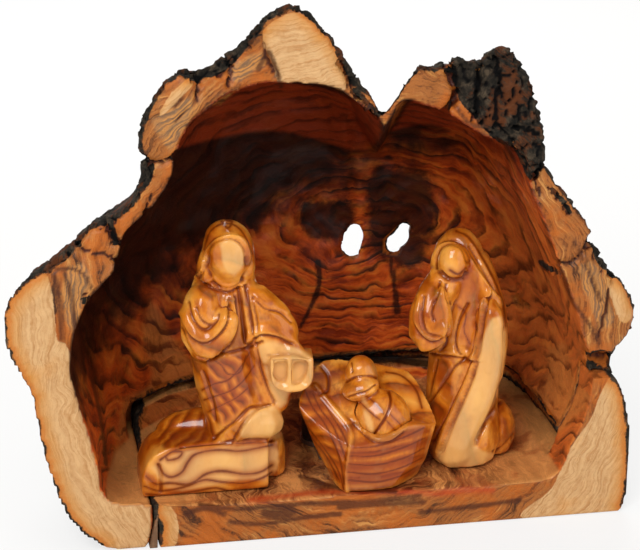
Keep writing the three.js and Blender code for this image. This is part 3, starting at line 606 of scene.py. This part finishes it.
# Wear: bark breaks into plates, the weathered face into fibres and lumps, the hollow into gouge marks
def wearLog(piece, outside, hollow, share, fromSeam):
    wear = SimpleNamespace(**logWear)
    places, normals = readPlaces(piece), readNormals(piece)
    spots = pictureSpots(places)
    heart = np.array(logShape["heart"])
    calmPatches = drawnShare(spots, logStains["sap"])
    front = places[:, 1] < cadBox[0].y + wear.crustReach
    crusted = (drawnShare(spots, logStains["crust"]) > wear.crustFrom) & front
    sunk = np.zeros(len(places))
    for index, place in enumerate(places):
        away = place - heart
        ring = math.hypot(away[0], away[2])
        turn = math.atan2(away[2], away[0])
        lump = noise.noise(Vector(place) / (wear.lumpSize * mm)) * wear.lumpDepth
        if outside[index] or crusted[index]:
            spot = Vector((place[0], place[1] * wear.plateStretch, place[2])) / (wear.plateSize * mm)
            spot += noise.noise_vector(spot * wear.plateBend) * wear.plateBendDepth
            near = noise.voronoi(spot)[0]
            gap = 1 - min((near[1] - near[0]) / wear.plateGap, 1)
            rough = noise.fractal(Vector(place) / (wear.crustSize * mm), wear.noiseRise, 2.1, 3)
            sunk[index] = (wear.plateDepth * gap ** wear.gapCurve
                           + wear.crustDepth * (0.5 + 0.5 * rough) + wear.base + lump)
        elif hollow[index]:
            wide, deep = wear.gougeStretch
            spot = Vector((place[0] * wide, place[1] * deep, place[2])) / (wear.gougeSize * mm)
            near = noise.voronoi(spot)[0]
            gouge = 1 - min(near[0] / wear.gougeHalf, 1) ** 2
            sunk[index] = wear.gougeDepth * gouge + wear.hollowLump * lump
        else:
            spot = Vector((ring / (wear.fibreSize * mm), turn * wear.fibreTurns,
                           place[1] / (wear.fibreLength * mm)))
            fibre = noise.fractal(spot, wear.noiseRise, 2.0, 3)
            rise = wear.fibreDepth * (wear.fibreLift + fibre) + wear.base + lump
            sunk[index] = rise * (1 - calmPatches[index] * (1 - wear.calm))
    sunk = np.maximum(sunk, 0) * share * smoothstep(places[:, 2] / mm, *wear.footFade)
    sunk = sunk * smoothstep(fromSeam, *wear.seamFade)
    sunk = np.minimum(sunk, wear.thickShare * wallThickness(piece))
    writePlaces(piece, places - normals * (sunk * mm)[:, None])


blanks = {}
for name, node in (("grotto", "grotto_shell"), ("base", "base_log")):
    recipe = {"grain": logShape[name + "Grain"], "rounding": logShape["rounding"]}
    blanks[name] = carvingBlank(node, name + "Wood", recipe)
    print(name, "faces", len(blanks[name].data.polygons))
grotto, base = blanks["grotto"], blanks["base"]

# Stains of the log, in pixels of the front view: width, then x,y of each point
logStains = {
    "sap": {"patch": [
        (4, 0,300, 16,278, 38,268, 47,276, 53,300, 57,340, 66,345, 84,385, 100,440, 107,497, 170,505, 170,552,
         90,552, 40,480, 0,350),
        (3, 263,30, 275,20, 296,12, 312,22, 324,32, 336,52, 343,72, 345,90, 325,97, 300,90, 281,87, 272,62,
         264,45),
        (3, 609,378, 628,398, 640,450, 634,520, 560,520, 520,516, 552,488, 566,455, 590,420, 600,395),
        (2, 172,92, 190,77, 193,84, 180,98, 164,114, 160,112),
        (3, 600,255, 613,262, 622,285, 633,310, 628,322, 620,320, 612,300),
    ]},
    "grey": {"patch": [
        (4, 150,118, 172,108, 190,98, 192,112, 184,128, 172,148, 160,140),
        (4, 228,72, 240,60, 262,52, 268,62, 255,70, 238,82),
        (4, 66,268, 84,262, 92,280, 84,300, 76,330, 66,320, 62,290),
        (4, 575,265, 595,262, 606,290, 614,318, 600,330, 588,300),
        (3, 280,492, 330,478, 380,482, 372,490, 300,498), (4, 430,478, 500,470, 524,480, 470,490, 430,489),
    ]},
    "crust": {"line": [
        (7, 197,74, 212,73, 226,65, 240,50, 252,34, 258,25), (4, 262,18, 278,10, 293,5, 308,9, 320,20),
        (5, 338,52, 346,66, 352,80, 358,93, 368,105, 378,114), (4, 322,22, 330,32, 337,45),
        (6, 152,164, 148,180, 136,193, 122,205, 107,216, 96,223), (5, 110,221, 113,233, 116,243),
        (4.4, 84,228, 70,245, 58,258, 48,269), (5, 392,90, 398,78, 410,69, 424,65),
        (4.4, 552,190, 562,200, 570,212), (5, 592,240, 600,262, 610,270), (4.4, 541,262, 548,268, 556,272),
    ], "patch": [
        (2, 79,299, 91,296, 84,305),
        (5, 452,62, 470,55, 500,48, 522,52, 545,110, 546,160, 530,180, 515,150, 495,140, 475,118, 456,95),
    ]},
    "vein": {"line": [
        (3.4, 58,270, 70,268, 84,275, 92,290, 95,302), (4, 54,275, 60,300, 62,340),
        (4, 64,272, 72,300, 76,335, 82,372), (4, 258,70, 268,52, 276,68, 281,86),
        (3.4, 92,380, 99,410, 104,440, 106,464), (4, 560,270, 572,300, 590,326, 600,345),
        (4, 574,240, 588,270, 600,300), (3.6, 274,514, 280,518, 276,520, 273,516),
        (4, 452,100, 470,124, 497,130, 514,160), (4, 200,505, 240,509, 300,504, 360,502, 420,496),
        (5, 186,514, 206,508, 224,514), (4.4, 230,522, 262,524, 300,518, 340,514),
        (5, 340,507, 380,504, 424,502), (4, 420,512, 470,507, 520,500), (4, 300,476, 340,488, 396,492),
    ], "patch": [
        (5, 262,508, 290,503, 298,514, 280,522, 262,518),
    ]},
    # Where the painted shade under the roof is redder, along its front edge
    "brow": {"patch": [
        (7, 172,150, 226,136, 283,131, 364,150, 380,120, 345,96, 300,84, 260,78, 215,84, 180,110),
        (7, 392,130, 430,124, 470,140, 505,175, 530,200, 525,150, 470,105, 420,96),
    ]},
    # Painted shadow, near black: patches about the knot holes under the roof, and dark lines on the back wall
    "soot": {"patch": [
        (14, 376,165, 428,175, 432,232, 410,266, 388,262, 372,240, 368,200),
        (10, 300,200, 350,205, 352,232, 330,240, 305,235),
    ], "line": [
        (4.4, 391,254, 392,270, 395,290, 397,312), (3.4, 318,262, 319,284, 312,304, 300,328),
        (5, 300,357, 340,360, 390,360, 432,364),
    ]},
    "blush": {"line": [
        (5, 440,493, 470,490, 492,490), (4.4, 250,500, 330,492, 400,492, 440,494),
    ]},
    "pale": {"patch": [
        (8, 142,330, 150,300, 170,330, 196,370, 200,395, 160,420, 120,440, 126,400, 150,380),
        (6, 548,350, 565,345, 575,380, 590,400, 560,430, 540,440, 520,400, 545,380),
        (5, 500,400, 520,405, 548,455, 546,468, 500,455),
        (6, 112,450, 200,395, 220,420, 150,460, 145,497, 110,497),
    ]},
}

toBase = gaps(readPlaces(grotto), readPlaces(base))
toGrotto = gaps(readPlaces(base), readPlaces(grotto))
for piece, share, grain, fromSeam in (
    (grotto, 1.0, logShape["grottoGrain"], toBase),
    (base, logShape["baseWear"], logShape["baseGrain"], toGrotto),
):
    outside, hollow = markLog(piece)
    wearLog(piece, outside, hollow, share, fromSeam)
    if piece is grotto:
        carve(piece, logCuts, logShape["cutTurn"], logShape["cutDepth"])
    markCreases(piece, grain, 1)
    for name, strokes in logStains.items():
        stain(piece, name, strokes)
print("log worn and stained")

# Grain of the log: growth centres in millimetres, ring and fibre sizes, and where painted shade darkens the
# hollow
logGrain = {
    "centre": (15, 0, 80), "squeeze": (1, 0.25, 0.9), "across": 3.2, "along": 26, "line": 1.7,
    "wallCentre": (38, 50, 92), "wallSqueeze": (0.5, 0.4, 1), "wallAcross": 2.6, "wallAlong": 30,
    "wallBand": 5.2, "barkScales": 260.0, "roofShade": (78, 112), "right": (66, 104),
    "stageRight": (56, 80), "stageLeft": (-62, -40),
}


def logFinish(name, tone, recipe):
    finish = Finish(name, {"Coat Roughness": 0.25, "Specular IOR Level": 0.2})
    blend, darken, smooth, mark = finish.blend, finish.darken, finish.smooth, finish.mark
    ramp, fraction = finish.ramp, finish.fraction
    hollow, depth, crease = mark("hollow"), mark("barkDepth"), mark("crease")
    wavy = finish.warped(24, 12)
    fineWavy = finish.warped(6, 3, wavy)
    coarse, fine, speck = finish.noise(13, 4), finish.noise(1.7, 4, 0.7), finish.noise(0.6, 2, 0.6)

    # A drawn mark with a ragged border
    def ragged(name, low, high, fineShare, coarseShare, drift=coarse):
        frayed = mark(name) + (fine - 0.5) * fineShare + (drift - 0.5) * coarseShare
        return smooth(frayed, low, high)

    # Weathered wood: fibres that run round the hollow
    rings = finish.ringDistance(recipe["centre"], recipe["squeeze"], fineWavy)
    fibres = finish.ringFibres(recipe["centre"], rings, recipe["across"], recipe["along"], fineWavy)
    fibre = finish.streaks(fibres)
    thread = finish.streaks(finish.vectors("MULTIPLY", fibres, (4.5, 2.0, 2.0)), 3, 0.7)
    roughTone = fibre * 0.62 + thread * 0.22 + coarse * 0.16
    rough = ramp(roughTone, [
        (0.41, tone.roughDark), (0.47, tone.rough), (0.53, tone.rough), (0.6, tone.roughPale),
    ])
    grainWave = fraction(rings / recipe["line"] + fibre * 3.4 + coarse * 2)
    grainLine = smooth(grainWave, 0.3, 0.75) - smooth(grainWave, 0.8, 1.0)
    rough = darken(grainLine * smooth(coarse + fine, 0.8, 1.15) * 0.7, rough, tone.roughLine)
    warm = smooth(finish.noise(20, 3) + (fine - 0.5) * 0.3, 0.46, 0.62)
    rough = blend(warm * 0.75, rough, tone.roughWarm)
    greyed = smooth(mark("grey") + (fine + coarse - 1) * 1.6, 0.1, 1.0)
    greyTone = blend(smooth(thread + grainLine * 0.3, 0.4, 0.8), tone.roughPale, tone.grey)
    rough = blend(greyed * 0.8, rough, greyTone)

    # Sawn sapwood: faint bands that follow the bark, freckles, and a cambium line under the bark
    bands = fraction(depth * 0.19 + coarse * 3.2)
    band = smooth(bands, 0.0, 0.6) - smooth(bands, 0.6, 1.0)
    sap = blend(
        band * 0.2 + grainLine * 0.14 + smooth(thread + fine * 0.4, 0.6, 0.9) * 0.65,
        tone.sapwood, tone.sapwoodShade,
    )
    edge = depth + (coarse - 0.5) * 4 + (fine - 0.5) * 2.4
    gold = (1 - smooth(edge, 3.0, 9.0)) * 0.6 + smooth(finish.noise(17), 0.55, 0.7) * 0.4
    sap = blend(gold, sap, tone.sapGold)
    sap = blend((1 - smooth(edge, 2.2, 4.6)) * 0.85, sap, tone.cambium)
    sapMark = ragged("sap", 0.34, 0.62, 0.5, 0.4)
    face = blend(sapMark, rough, sap)
    # Painted shade in the crevices of the weathered face
    face = darken(smooth(crease, 0.15, 0.9) * (1 - sapMark * 0.6), face, tone.roughCrease)
    face = blend((speck - 0.5) * 0.5, face, tone.roughPale)

    # Bark: near black crust with paler scales and brown where it has flaked off
    scales = finish.node("TexVoronoi", {"feature": "DISTANCE_TO_EDGE"}, {
        "Vector": fineWavy, "Scale": recipe["barkScales"],
    })
    barkTone = finish.noise(4, 6, 0.75, fineWavy)
    barkColour = ramp(barkTone, [
        (0.36, tone.barkDark), (0.5, tone.barkMid), (0.66, tone.barkPale),
    ])
    flaked = smooth(finish.noise(13, 4, 0.6) + (thread - 0.5) * 0.4, 0.5, 0.62)
    barkColour = blend(flaked * 0.8, barkColour, blend(fibre, tone.roughDark, tone.barkBrown))
    # Painted shade in the crevices of the bark
    barkColour = darken(smooth(crease, 0.1, 0.8), barkColour, tone.barkCrease)
    nearBark = 1 - smooth(edge, 1.3, 2.1)
    crustMark = ragged("crust", 0.4, 0.56, 0.7, 0.7)
    barkMark = finish.maths("MAXIMUM", finish.maths("MAXIMUM", crustMark, mark("outside")), nearBark)

    # The hollow: red-brown wood with dark bands round the natural holes, and painted shade that makes it
    # nearly black under the roof
    across, height = (finish.node("SeparateXYZ", {}, {0: finish.place}, i) * (1 / mm) for i in (0, 2))
    centre, drifting = recipe["wallCentre"], finish.warped(34, 22, fineWavy)
    wallRings = finish.ringDistance(centre, recipe["wallSqueeze"], drifting)
    grain = finish.ringFibres(centre, wallRings, recipe["wallAcross"], recipe["wallAlong"], fineWavy)
    wallFibre = finish.streaks(grain, 5, 0.62)
    broken = finish.noise(17, 4, 0.6, wavy)
    wallBand = fraction(wallRings / recipe["wallBand"] + (wallFibre - 0.5) * 0.9)
    bandLine = smooth(wallBand, 0.45, 0.86) - smooth(wallBand, 0.88, 1.0)
    wallLine = bandLine * smooth(broken, 0.34, 0.58)
    wall = ramp(wallFibre * 0.6 + coarse * 0.4, [
        (0.4, tone.wallShade), (0.5, tone.wall), (0.62, tone.wallWarm),
    ])
    wall = blend(wallLine * 0.9, wall, tone.wallLine)
    tan = blend(smooth(thread + wallLine * 0.5, 0.4, 0.9), tone.wallPale, tone.wallTan)
    palePart = ragged("pale", 0.1, 0.95, 0.3, 0.9)
    wall = blend(palePart * 0.7, wall, tan)
    right = smooth(across + (coarse - 0.5) * 50, *recipe["right"])
    wall = blend(right * 0.5, wall, blend(wallLine, tone.wallPale, tone.wallTan))
    # Painted shade: darker towards the top of the hollow, near black under the roof, redder along its front
    # edge
    roofShade = smooth(height + (broken - 0.5) * 60 - across * 0.5, *recipe["roofShade"])
    brow = ragged("brow", 0.2, 0.8, 0.3, 0.0)
    shade = blend(brow, tone.wallBlack, tone.wallBrow)
    shade = blend(wallLine * 0.6, shade, tone.wallBlack)
    wall = blend(roofShade * 0.95, wall, shade)
    # Painted shade in the creases of the hollow
    wall = darken(smooth(crease, 0.2, 1.0) * 0.7, wall, tone.wallCrease)

    stage = ramp(fibre * 0.5 + thread * 0.3 + coarse * 0.2, [
        (0.4, tone.vein), (0.46, tone.stage), (0.56, tone.stagePale),
    ])
    # Paler towards the left and right: painted light where the stage lies lit
    stage = blend(smooth(across + (coarse - 0.5) * 30, *recipe["stageRight"]) * 0.7, stage, tone.stagePale)
    stage = blend(smooth(coarse, 0.5, 0.66) * 0.6, stage, tone.stageRed)
    left = 1 - smooth(across + (coarse - 0.5) * 20, *recipe["stageLeft"])
    stage = blend(left * 0.8, stage, tone.stagePale)
    wall = blend(mark("stage"), wall, stage)
    # Painted shadow, near black
    soot = ragged("soot", 0.05, 0.75, 0.6, 1.6, broken)
    wall = blend(soot * 0.88, wall, tone.wallBlack)
    colour = blend(hollow, face, wall)
    colour = blend(mark("blush") * 0.7, colour, tone.blush)
    vein = ragged("vein", 0.1, 0.95, 0.6, 0.8)
    colour = blend(vein * 0.8, colour, tone.vein)
    colour = blend(barkMark, colour, barkColour)
    woodBumps = fibre * 0.5 + thread * 0.35 + fine * 0.3
    bumps = blend(barkMark, blend(hollow, woodBumps, wallFibre * 0.5 + fine * 0.3), scales * 0.4 + barkTone)
    relief = finish.bump(speck, 0.14, 0.6, finish.bump(bumps, 1.5, 0.85))
    finish.feed({
        "Base Color": colour,
        "Roughness": 0.42 + barkMark * 0.38 + fine * 0.16,
        "Coat Weight": (1 - barkMark) * (hollow * (1 - roofShade) * 0.3 + 0.1),
        "Normal": relief,
    })
    return finish.material


logMaterial = logFinish("oliveLog", tones(logWood), logGrain)
for piece, slot in ((grotto, "log_wood"), (base, "base_wood")):
    piece.data.materials.append(logMaterial)
print("log finished")

# The carved figures
figureWood = {
    "cream": (240, 166, 70), "honey": (216, 124, 28), "amber": (162, 68, 6), "line": (100, 34, 2),
    "red": (138, 50, 6), "pale": (242, 198, 128), "crease": (112, 42, 2),
}


def carvedFinish(name, tone, recipe):
    finish = Finish(name, {"Coat Roughness": 0.06, "Coat IOR": 1.5, "Specular IOR Level": 0.15})
    blend, mark, smooth, ramp = finish.blend, finish.mark, finish.smooth, finish.ramp
    wavy = finish.warped(recipe["waveSize"], recipe["wave"])
    wavy = finish.warped(6, 2.4, wavy)
    rings = finish.ringDistance(recipe["heart"], recipe["squeeze"], wavy)
    broad = finish.fraction(rings / recipe["spacing"])
    close = finish.fraction(rings / recipe["close"])
    fine = finish.noise(2.2, 4, 0.6, finish.vectors("MULTIPLY", wavy, (1.0, 1.0, 0.35)))
    drift, cloud = finish.noise(24, 3), finish.noise(11, 3)
    wide = ramp(broad, [
        (0.0, tone.line), (0.07, tone.red), (0.17, tone.amber), (0.38, tone.honey), (0.66, tone.cream),
        (0.9, tone.honey), (0.97, tone.amber), (1.0, tone.line),
    ])
    narrow = ramp(close, [
        (0.0, tone.line), (0.2, tone.red), (0.36, tone.amber), (0.68, tone.honey), (0.9, tone.amber),
        (1.0, tone.line),
    ])
    plain = ramp(drift * 0.5 + cloud * 0.5, [
        (0.38, tone.amber), (0.48, tone.honey), (0.62, tone.cream),
    ])
    plain = blend(smooth(fine, 0.42, 0.7) * 0.6, plain, tone.amber)
    figured = blend(smooth(cloud, 0.36, 0.6) * recipe["figure"], plain, wide)
    colour = blend(mark("dense") * 0.9, figured, narrow)
    colour = blend(mark("red") * smooth(fine + drift, 0.8, 1.1) * 0.5, colour, tone.red)
    pale = blend(fine * 0.5, tone.pale, tone.cream)
    palePart = smooth(mark("pale") + (cloud - 0.5) * 1.3 + (fine - 0.5) * 0.4, 0.0, 1.0)
    pale = blend(0.24, pale, wide)
    colour = blend(palePart * 0.85, colour, pale)
    bare = 1 - palePart * 0.75
    # Broad painted shade in the hollows of the carving, partly varnish pooled there
    colour = blend(mark("pool") * bare * 0.7, colour, tone.amber)
    colour = blend(mark("halo") * 0.75, colour, tone.amber)
    vein = smooth(mark("vein") + (fine - 0.5) * 0.5 + (cloud - 0.5), 0.1, 1.0)
    colour = blend(vein * 0.8, colour, tone.line)
    # Painted shade in the folds and grooves, partly the dark polish that gathers there
    colour = blend(mark("crease") * bare * 0.8, colour, tone.crease)
    # Painted highlight along the edges, partly wear that leaves them paler
    colour = blend(mark("edge") * (1 - palePart) * 0.25, colour, tone.cream)
    finish.feed({
        "Base Color": colour,
        "Roughness": 0.24 + fine * 0.14,
        "Coat Weight": (0.55 + drift * 0.2) * (1 - mark("crease") * 0.5),
        "Normal": finish.bump(fine, 0.1, 0.4),
    })
    return finish.material


# The figures, in pixels of the front view: strokes have a height in millimetres, a width, then x,y of
# each point, veins and patches a width and the points
manStrokes = {"fold": [
    (1.3, 4, 203,268, 206,252, 212,243, 221,237, 233,235, 243,239, 249,249, 251,260, 252,270),
    (1.6, 4, 240,286, 228,291, 216,288, 206,282),
    (1.3, 4, 227,306, 226,322, 216,336, 203,342, 190,334, 181,315),
    (1.6, 4, 234,300, 236,322, 228,345, 214,356), (1.4, 4, 291,342, 275,335, 260,334, 250,342),
    (1.3, 4, 236,438, 245,424, 256,412, 268,407),
], "groove": [
    (0.9, 3, 208,262, 210,250, 217,242, 228,239, 238,242, 244,250, 246,262),
    (0.8, 3, 209,258, 208,268, 213,280, 219,286), (0.8, 3, 246,258, 246,270, 242,280),
    (0.7, 2.4, 207,264, 204,272, 200,278), (1.5, 4, 212,283, 219,287, 228,289, 236,286, 243,280),
    (1, 3, 188,302, 193,320, 205,330, 216,322, 219,314), (0.8, 3, 196,308, 202,320, 210,325),
    (1.2, 3, 181,330, 189,351, 202,360, 216,356, 226,345), (1.2, 3, 239,288, 241,308, 243,325, 245,342),
    (1, 2.6, 246,286, 249,308, 252,326, 254,338), (0.7, 2.6, 252,298, 256,316, 258,332),
    (0.8, 3, 253,296, 264,308, 280,312, 292,322), (1, 3, 222,354, 236,351, 248,348, 262,342),
    (1, 3, 255,344, 260,368, 268,390, 275,402), (0.8, 3, 214,438, 236,420, 250,408, 264,406),
    (0.9, 3, 181,447, 210,444, 240,441, 272,440), (1, 3, 159,466, 161,478, 161,492),
    (0.7, 2.4, 203,372, 208,388, 213,404, 215,420), (0.7, 2.4, 268,356, 280,354, 296,354, 309,358),
], "ridge": [
    (0.7, 3, 205,262, 202,270, 196,277), (0.6, 3, 242,288, 245,308, 248,326, 250,340),
    (0.7, 4, 262,284, 276,292, 288,312),
], "sink": [
    (1.5, 1.2, 271,360, 286,359, 287,370, 286,381, 280,382, 274,377, 271,370),
    (1.5, 1.2, 291,359, 306,361, 307,370, 304,379, 298,384, 291,384),
]}

manVeins = [
    (1.8, 158,464, 164,474, 172,477, 182,472, 188,462, 196,454, 216,450, 240,451, 258,448, 272,445),
    (1.8, 146,476, 156,484, 170,483, 190,484, 206,474, 222,471, 244,474, 260,472, 272,465),
    (1.5, 144,486, 160,491, 184,487, 204,480, 222,482, 244,483, 262,478, 272,472),
    (1.4, 146,494, 170,495, 196,491, 216,488, 236,492, 262,488, 272,484),
    (1.5, 166,456, 172,452, 182,452, 178,458, 168,460, 166,456),
    (1.5, 160,460, 176,450, 200,446, 230,444, 271,442), (1.4, 214,360, 222,366, 228,374, 240,372, 246,356),
    (1.2, 202,390, 214,384, 228,380, 240,368, 250,352), (1.2, 204,400, 216,396, 232,390, 244,380, 254,366),
    (1.2, 208,412, 220,406, 236,398, 248,388), (2.1, 222,222, 228,228, 232,222, 226,220),
    (1.4, 204,250, 210,232, 222,224, 236,226, 246,238, 252,254),
]

womanStrokes = {"fold": [
    (1.1, 4, 431,272, 433,256, 440,245, 452,242, 464,248, 471,258, 480,272, 490,286, 500,298, 506,322),
    (1.2, 4, 447,328, 441,337, 430,340, 420,332, 414,318, 418,298),
    (1.3, 4, 446,330, 444,344, 436,352, 424,350), (1.2, 4, 474,360, 462,357, 452,355, 440,354),
    (2, 4, 488,297, 483,314, 479,338, 476,360, 470,380, 461,402, 451,424, 441,450),
], "groove": [
    (1, 3, 437,268, 438,256, 443,247, 453,245, 462,250, 467,262),
    (0.9, 3, 470,246, 479,262, 490,280, 498,294), (1.3, 3.4, 440,272, 448,279, 458,280, 466,273),
    (0.9, 2.6, 440,282, 438,292, 434,302), (0.9, 2.6, 446,284, 447,296, 450,304),
    (0.8, 2.4, 434,300, 432,312, 434,320), (1.1, 3, 424,297, 422,318, 428,333, 440,336),
    (1.1, 3, 468,304, 459,322, 455,340, 459,352, 467,358), (0.9, 3, 481,306, 480,324, 476,342, 474,358),
    (1, 3, 465,360, 453,369, 443,384, 429,402), (1.1, 3, 473,362, 464,384, 452,408, 446,420, 434,440),
    (0.8, 3, 437,360, 432,380, 428,398), (1, 3, 502,308, 505,330, 505,360, 498,396, 486,424, 477,440),
    (1.2, 3, 502,398, 492,416, 482,430, 477,444), (0.8, 3, 494,452, 504,446, 514,434),
]}

womanVeins = [
    (1.8, 456,231, 468,237, 480,254, 492,276, 502,300, 506,326), (1.4, 484,300, 480,318, 476,342, 474,362),
    (1.4, 450,270, 458,274, 466,268), (1.2, 458,306, 466,314, 464,330, 470,344),
    (1.2, 420,306, 419,322, 425,336, 436,341),
]

mangerStrokes = {"ridge": [
    (1, 4, 347,494, 347,470, 350,446, 349,428, 331,405, 315,386),
], "fold": [
    (1.2, 4, 402,432, 390,440, 376,441, 366,434, 356,424),
], "groove": [
    (0.7, 3, 321,366, 328,376, 328,390, 320,394),
]}

mangerVeins = [
    (1.7, 305,390, 313,408, 326,426, 339,456, 344,484), (1.5, 313,394, 321,410, 334,428, 346,460),
    (1.5, 296,404, 304,422, 321,444, 337,468, 344,490), (1.4, 322,400, 332,416, 342,432, 348,446),
    (1.4, 297,416, 310,436, 326,456, 340,482), (1.8, 324,366, 328,376, 328,390, 321,394, 314,386),
    (1.5, 354,448, 376,446, 402,438, 424,428), (1.5, 350,456, 374,456, 402,448, 425,438),
    (1.4, 349,464, 376,465, 404,458, 424,448), (1.5, 348,472, 374,474, 400,468, 422,458),
    (1.4, 348,480, 376,482, 400,476, 418,466), (1.5, 386,372, 402,376, 416,390, 422,408),
]

infantStrokes = {"groove": [
    (0.8, 2.4, 389,391, 391,401, 386,417, 373,436), (0.7, 2, 351,363, 352,372),
    (0.6, 2, 346,382, 356,377, 370,376, 377,378), (0.9, 2.4, 343,400, 355,395, 366,392, 376,385),
]}

infantVeins = [
    (1.2, 366,396, 376,404, 384,414), (1.2, 360,402, 370,412, 380,420), (1.2, 390,414, 398,422, 404,428),
    (1.2, 386,420, 393,428, 398,434), (1.5, 389,391, 391,401, 386,417, 373,436),
]

# The dense, reddish wood of the man's knee
manKnee = (3, 158,440, 162,424, 176,414, 196,410, 212,420, 212,444, 170,450)

manPatches = {
    "pale": {"patch": [
        (4, 152,468, 170,456, 196,450, 272,446, 272,476, 236,480, 200,488, 168,488),
        # A painted highlight: the pale side of the face
        (3, 220,243, 232,240, 242,250, 243,264, 236,274, 228,272, 222,260),
        (4, 258,345, 275,342, 300,350, 312,360, 310,385, 290,392, 286,404, 274,402),
        (4, 250,410, 272,406, 284,420, 284,434, 262,438, 240,436),
        (4, 192,470, 200,456, 224,452, 270,448, 270,462, 240,470, 212,466, 196,478),
    ]},
    "dense": {"patch": [
        manKnee,
        (4, 203,366, 250,352, 256,380, 246,404, 220,424, 208,410),
    ]},
    "red": {"patch": [
        manKnee,
        (3, 272,440, 286,434, 286,474, 272,478), (3, 232,340, 246,332, 250,350, 232,354),
    ]},
    "vein": {"line": manVeins},
}

womanPatches = {
    "pale": {"patch": [
        (3, 492,318, 504,318, 506,340, 502,372, 494,400, 480,432, 478,448, 500,458, 470,468, 436,466, 442,446,
         458,414, 474,376, 482,340),
    ]},
    "dense": {"patch": [(4, 430,380, 440,360, 456,362, 450,400, 436,430, 428,420)]},
    "red": {"patch": [
        (4, 500,398, 512,406, 516,424, 510,440, 494,440, 490,420),
        (4, 430,420, 444,410, 448,424, 438,450, 428,450),
    ]},
    "vein": {"line": womanVeins},
}

mangerPatches = {
    "dense": {"patch": [
        (4, 350,446, 425,428, 424,462, 400,484, 350,494),
        (4, 296,380, 310,384, 346,440, 344,490, 320,450, 296,420),
    ]},
    "red": {"patch": [
        (4, 300,362, 345,365, 350,420, 330,400, 310,384), (4, 350,440, 425,428, 424,462, 400,484, 350,494),
    ]},
    "vein": {"line": mangerVeins},
}

infantPatches = {
    "pale": {"patch": [(3, 360,400, 366,398, 374,430, 368,430)]},
    "red": {"line": [(2, 345,386, 358,380, 374,380)]},
    "vein": {"line": infantVeins},
}

carvings = {
    "kneeling_man": {
        "name": "carvedMan", "grain": 0.55, "rounding": 36, "strokes": manStrokes, "stains": manPatches,
        "heart": (-80, 20, 30), "squeeze": (0.9, 0.5, 1), "spacing": 14, "close": 3.4, "waveSize": 18,
        "wave": 9, "figure": 0.85, "slot": "figure_wood",
    },
    "kneeling_woman": {
        "name": "carvedWoman", "grain": 0.55, "rounding": 28, "strokes": womanStrokes, "stains": womanPatches,
        "heart": (120, 30, 120), "squeeze": (1, 0.6, 0.5), "spacing": 15, "close": 4, "waveSize": 24,
        "wave": 8, "figure": 0.7, "slot": "figure_wood",
    },
    "manger": {
        "name": "carvedManger", "grain": 0.55, "rounding": 10, "strokes": mangerStrokes,
        "stains": mangerPatches, "heart": (20, 40, 120), "squeeze": (0.4, 0.5, 1), "spacing": 9,
        "close": 5.2, "waveSize": 30, "wave": 10, "figure": 0.95, "slot": "manger_wood",
    },
    "infant": {
        "name": "carvedInfant", "grain": 0.45, "rounding": 20, "strokes": infantStrokes,
        "stains": infantPatches, "heart": (60, -20, 90), "squeeze": (1, 1, 1), "spacing": 11, "close": 3,
        "waveSize": 20, "wave": 6, "figure": 0.6, "slot": "infant_wood",
    },
}

for node, recipe in carvings.items():
    piece = carvingBlank(node, recipe["name"], recipe)
    carve(piece, recipe["strokes"])
    markCreases(piece, recipe["grain"])
    for name, strokes in recipe["stains"].items():
        stain(piece, name, strokes)
    veins = recipe["stains"]["vein"]["line"]
    stain(piece, "halo", {"line": [(width * strokeShape["haloShare"], *line) for width, *line in veins]})
    piece.data.materials.append(carvedFinish(recipe["name"] + "Finish", tones(figureWood), recipe))
    print(recipe["name"], len(piece.data.polygons))

# The wedge in the foot of the seam
wedgeWood = {"grain": 0.5, "rounding": 2, "colours": {"dark": (84, 54, 32), "pale": (142, 104, 70)}}


def wedgeFinish(tone):
    finish = Finish("wedgeWood", {"Roughness": 0.6})
    grain = finish.noise(3, 5, 0.7, finish.vectors("MULTIPLY", finish.place, (1.0, 0.4, 0.3)))
    finish.feed({
        "Base Color": finish.ramp(grain, [(0.3, tone.dark), (0.7, tone.pale)]),
        "Normal": finish.bump(grain, 0.3, 0.5),
    })
    return finish.material


wedge = carvingBlank("seam_wedge", "seamWedgeWood", wedgeWood)
wedge.data.materials.append(wedgeFinish(tones(wedgeWood["colours"])))
print("wedge ready")

# The musical movement keeps its solids and gets metal finishes
metals = {
    "brushedSteel": {"colour": (168, 170, 172), "rough": 0.32, "slot": "movement_steel", "nodes": [
        "movement_plate", "music_comb", "comb_screw_1", "comb_screw_2", "movement_screw_1",
        "movement_screw_2", "movement_screw_3", "movement_screw_4", "governor_fly", "winding_arbor"]},
    "darkenedSteel": {"colour": (82, 84, 88), "rough": 0.42, "slot": "dark_steel", "nodes": [
        "spring_housing"]},
    "movementBrass": {"colour": (204, 164, 84), "rough": 0.3, "slot": "movement_brass", "nodes": [
        "pinned_cylinder", "governor_frame", "governor_wheel", "winding_key"]},
}


def metalFinish(name, recipe):
    finish = Finish(name, {"Metallic": 1.0})
    brushed = finish.noise(1.2, 4, 0.7, finish.vectors("MULTIPLY", finish.place, (0.15, 1.0, 1.0)))
    cloud = finish.noise(9, 3)
    shade = tuple(c * 0.72 for c in recipe["colour"])
    finish.feed({
        "Base Color": finish.blend(cloud, tint(*recipe["colour"]), tint(*shade)),
        "Roughness": recipe["rough"] + brushed * 0.18,
        "Normal": finish.bump(brushed, 0.03, 0.4),
    })
    return finish.material


for name, recipe in metals.items():
    material = metalFinish(name, recipe)
    for node in recipe["nodes"]:
        piece = frame["nodes"][node]
        for spot in piece.material_slots:
            spot.link = "OBJECT"
            spot.material = material
print("movement finished")
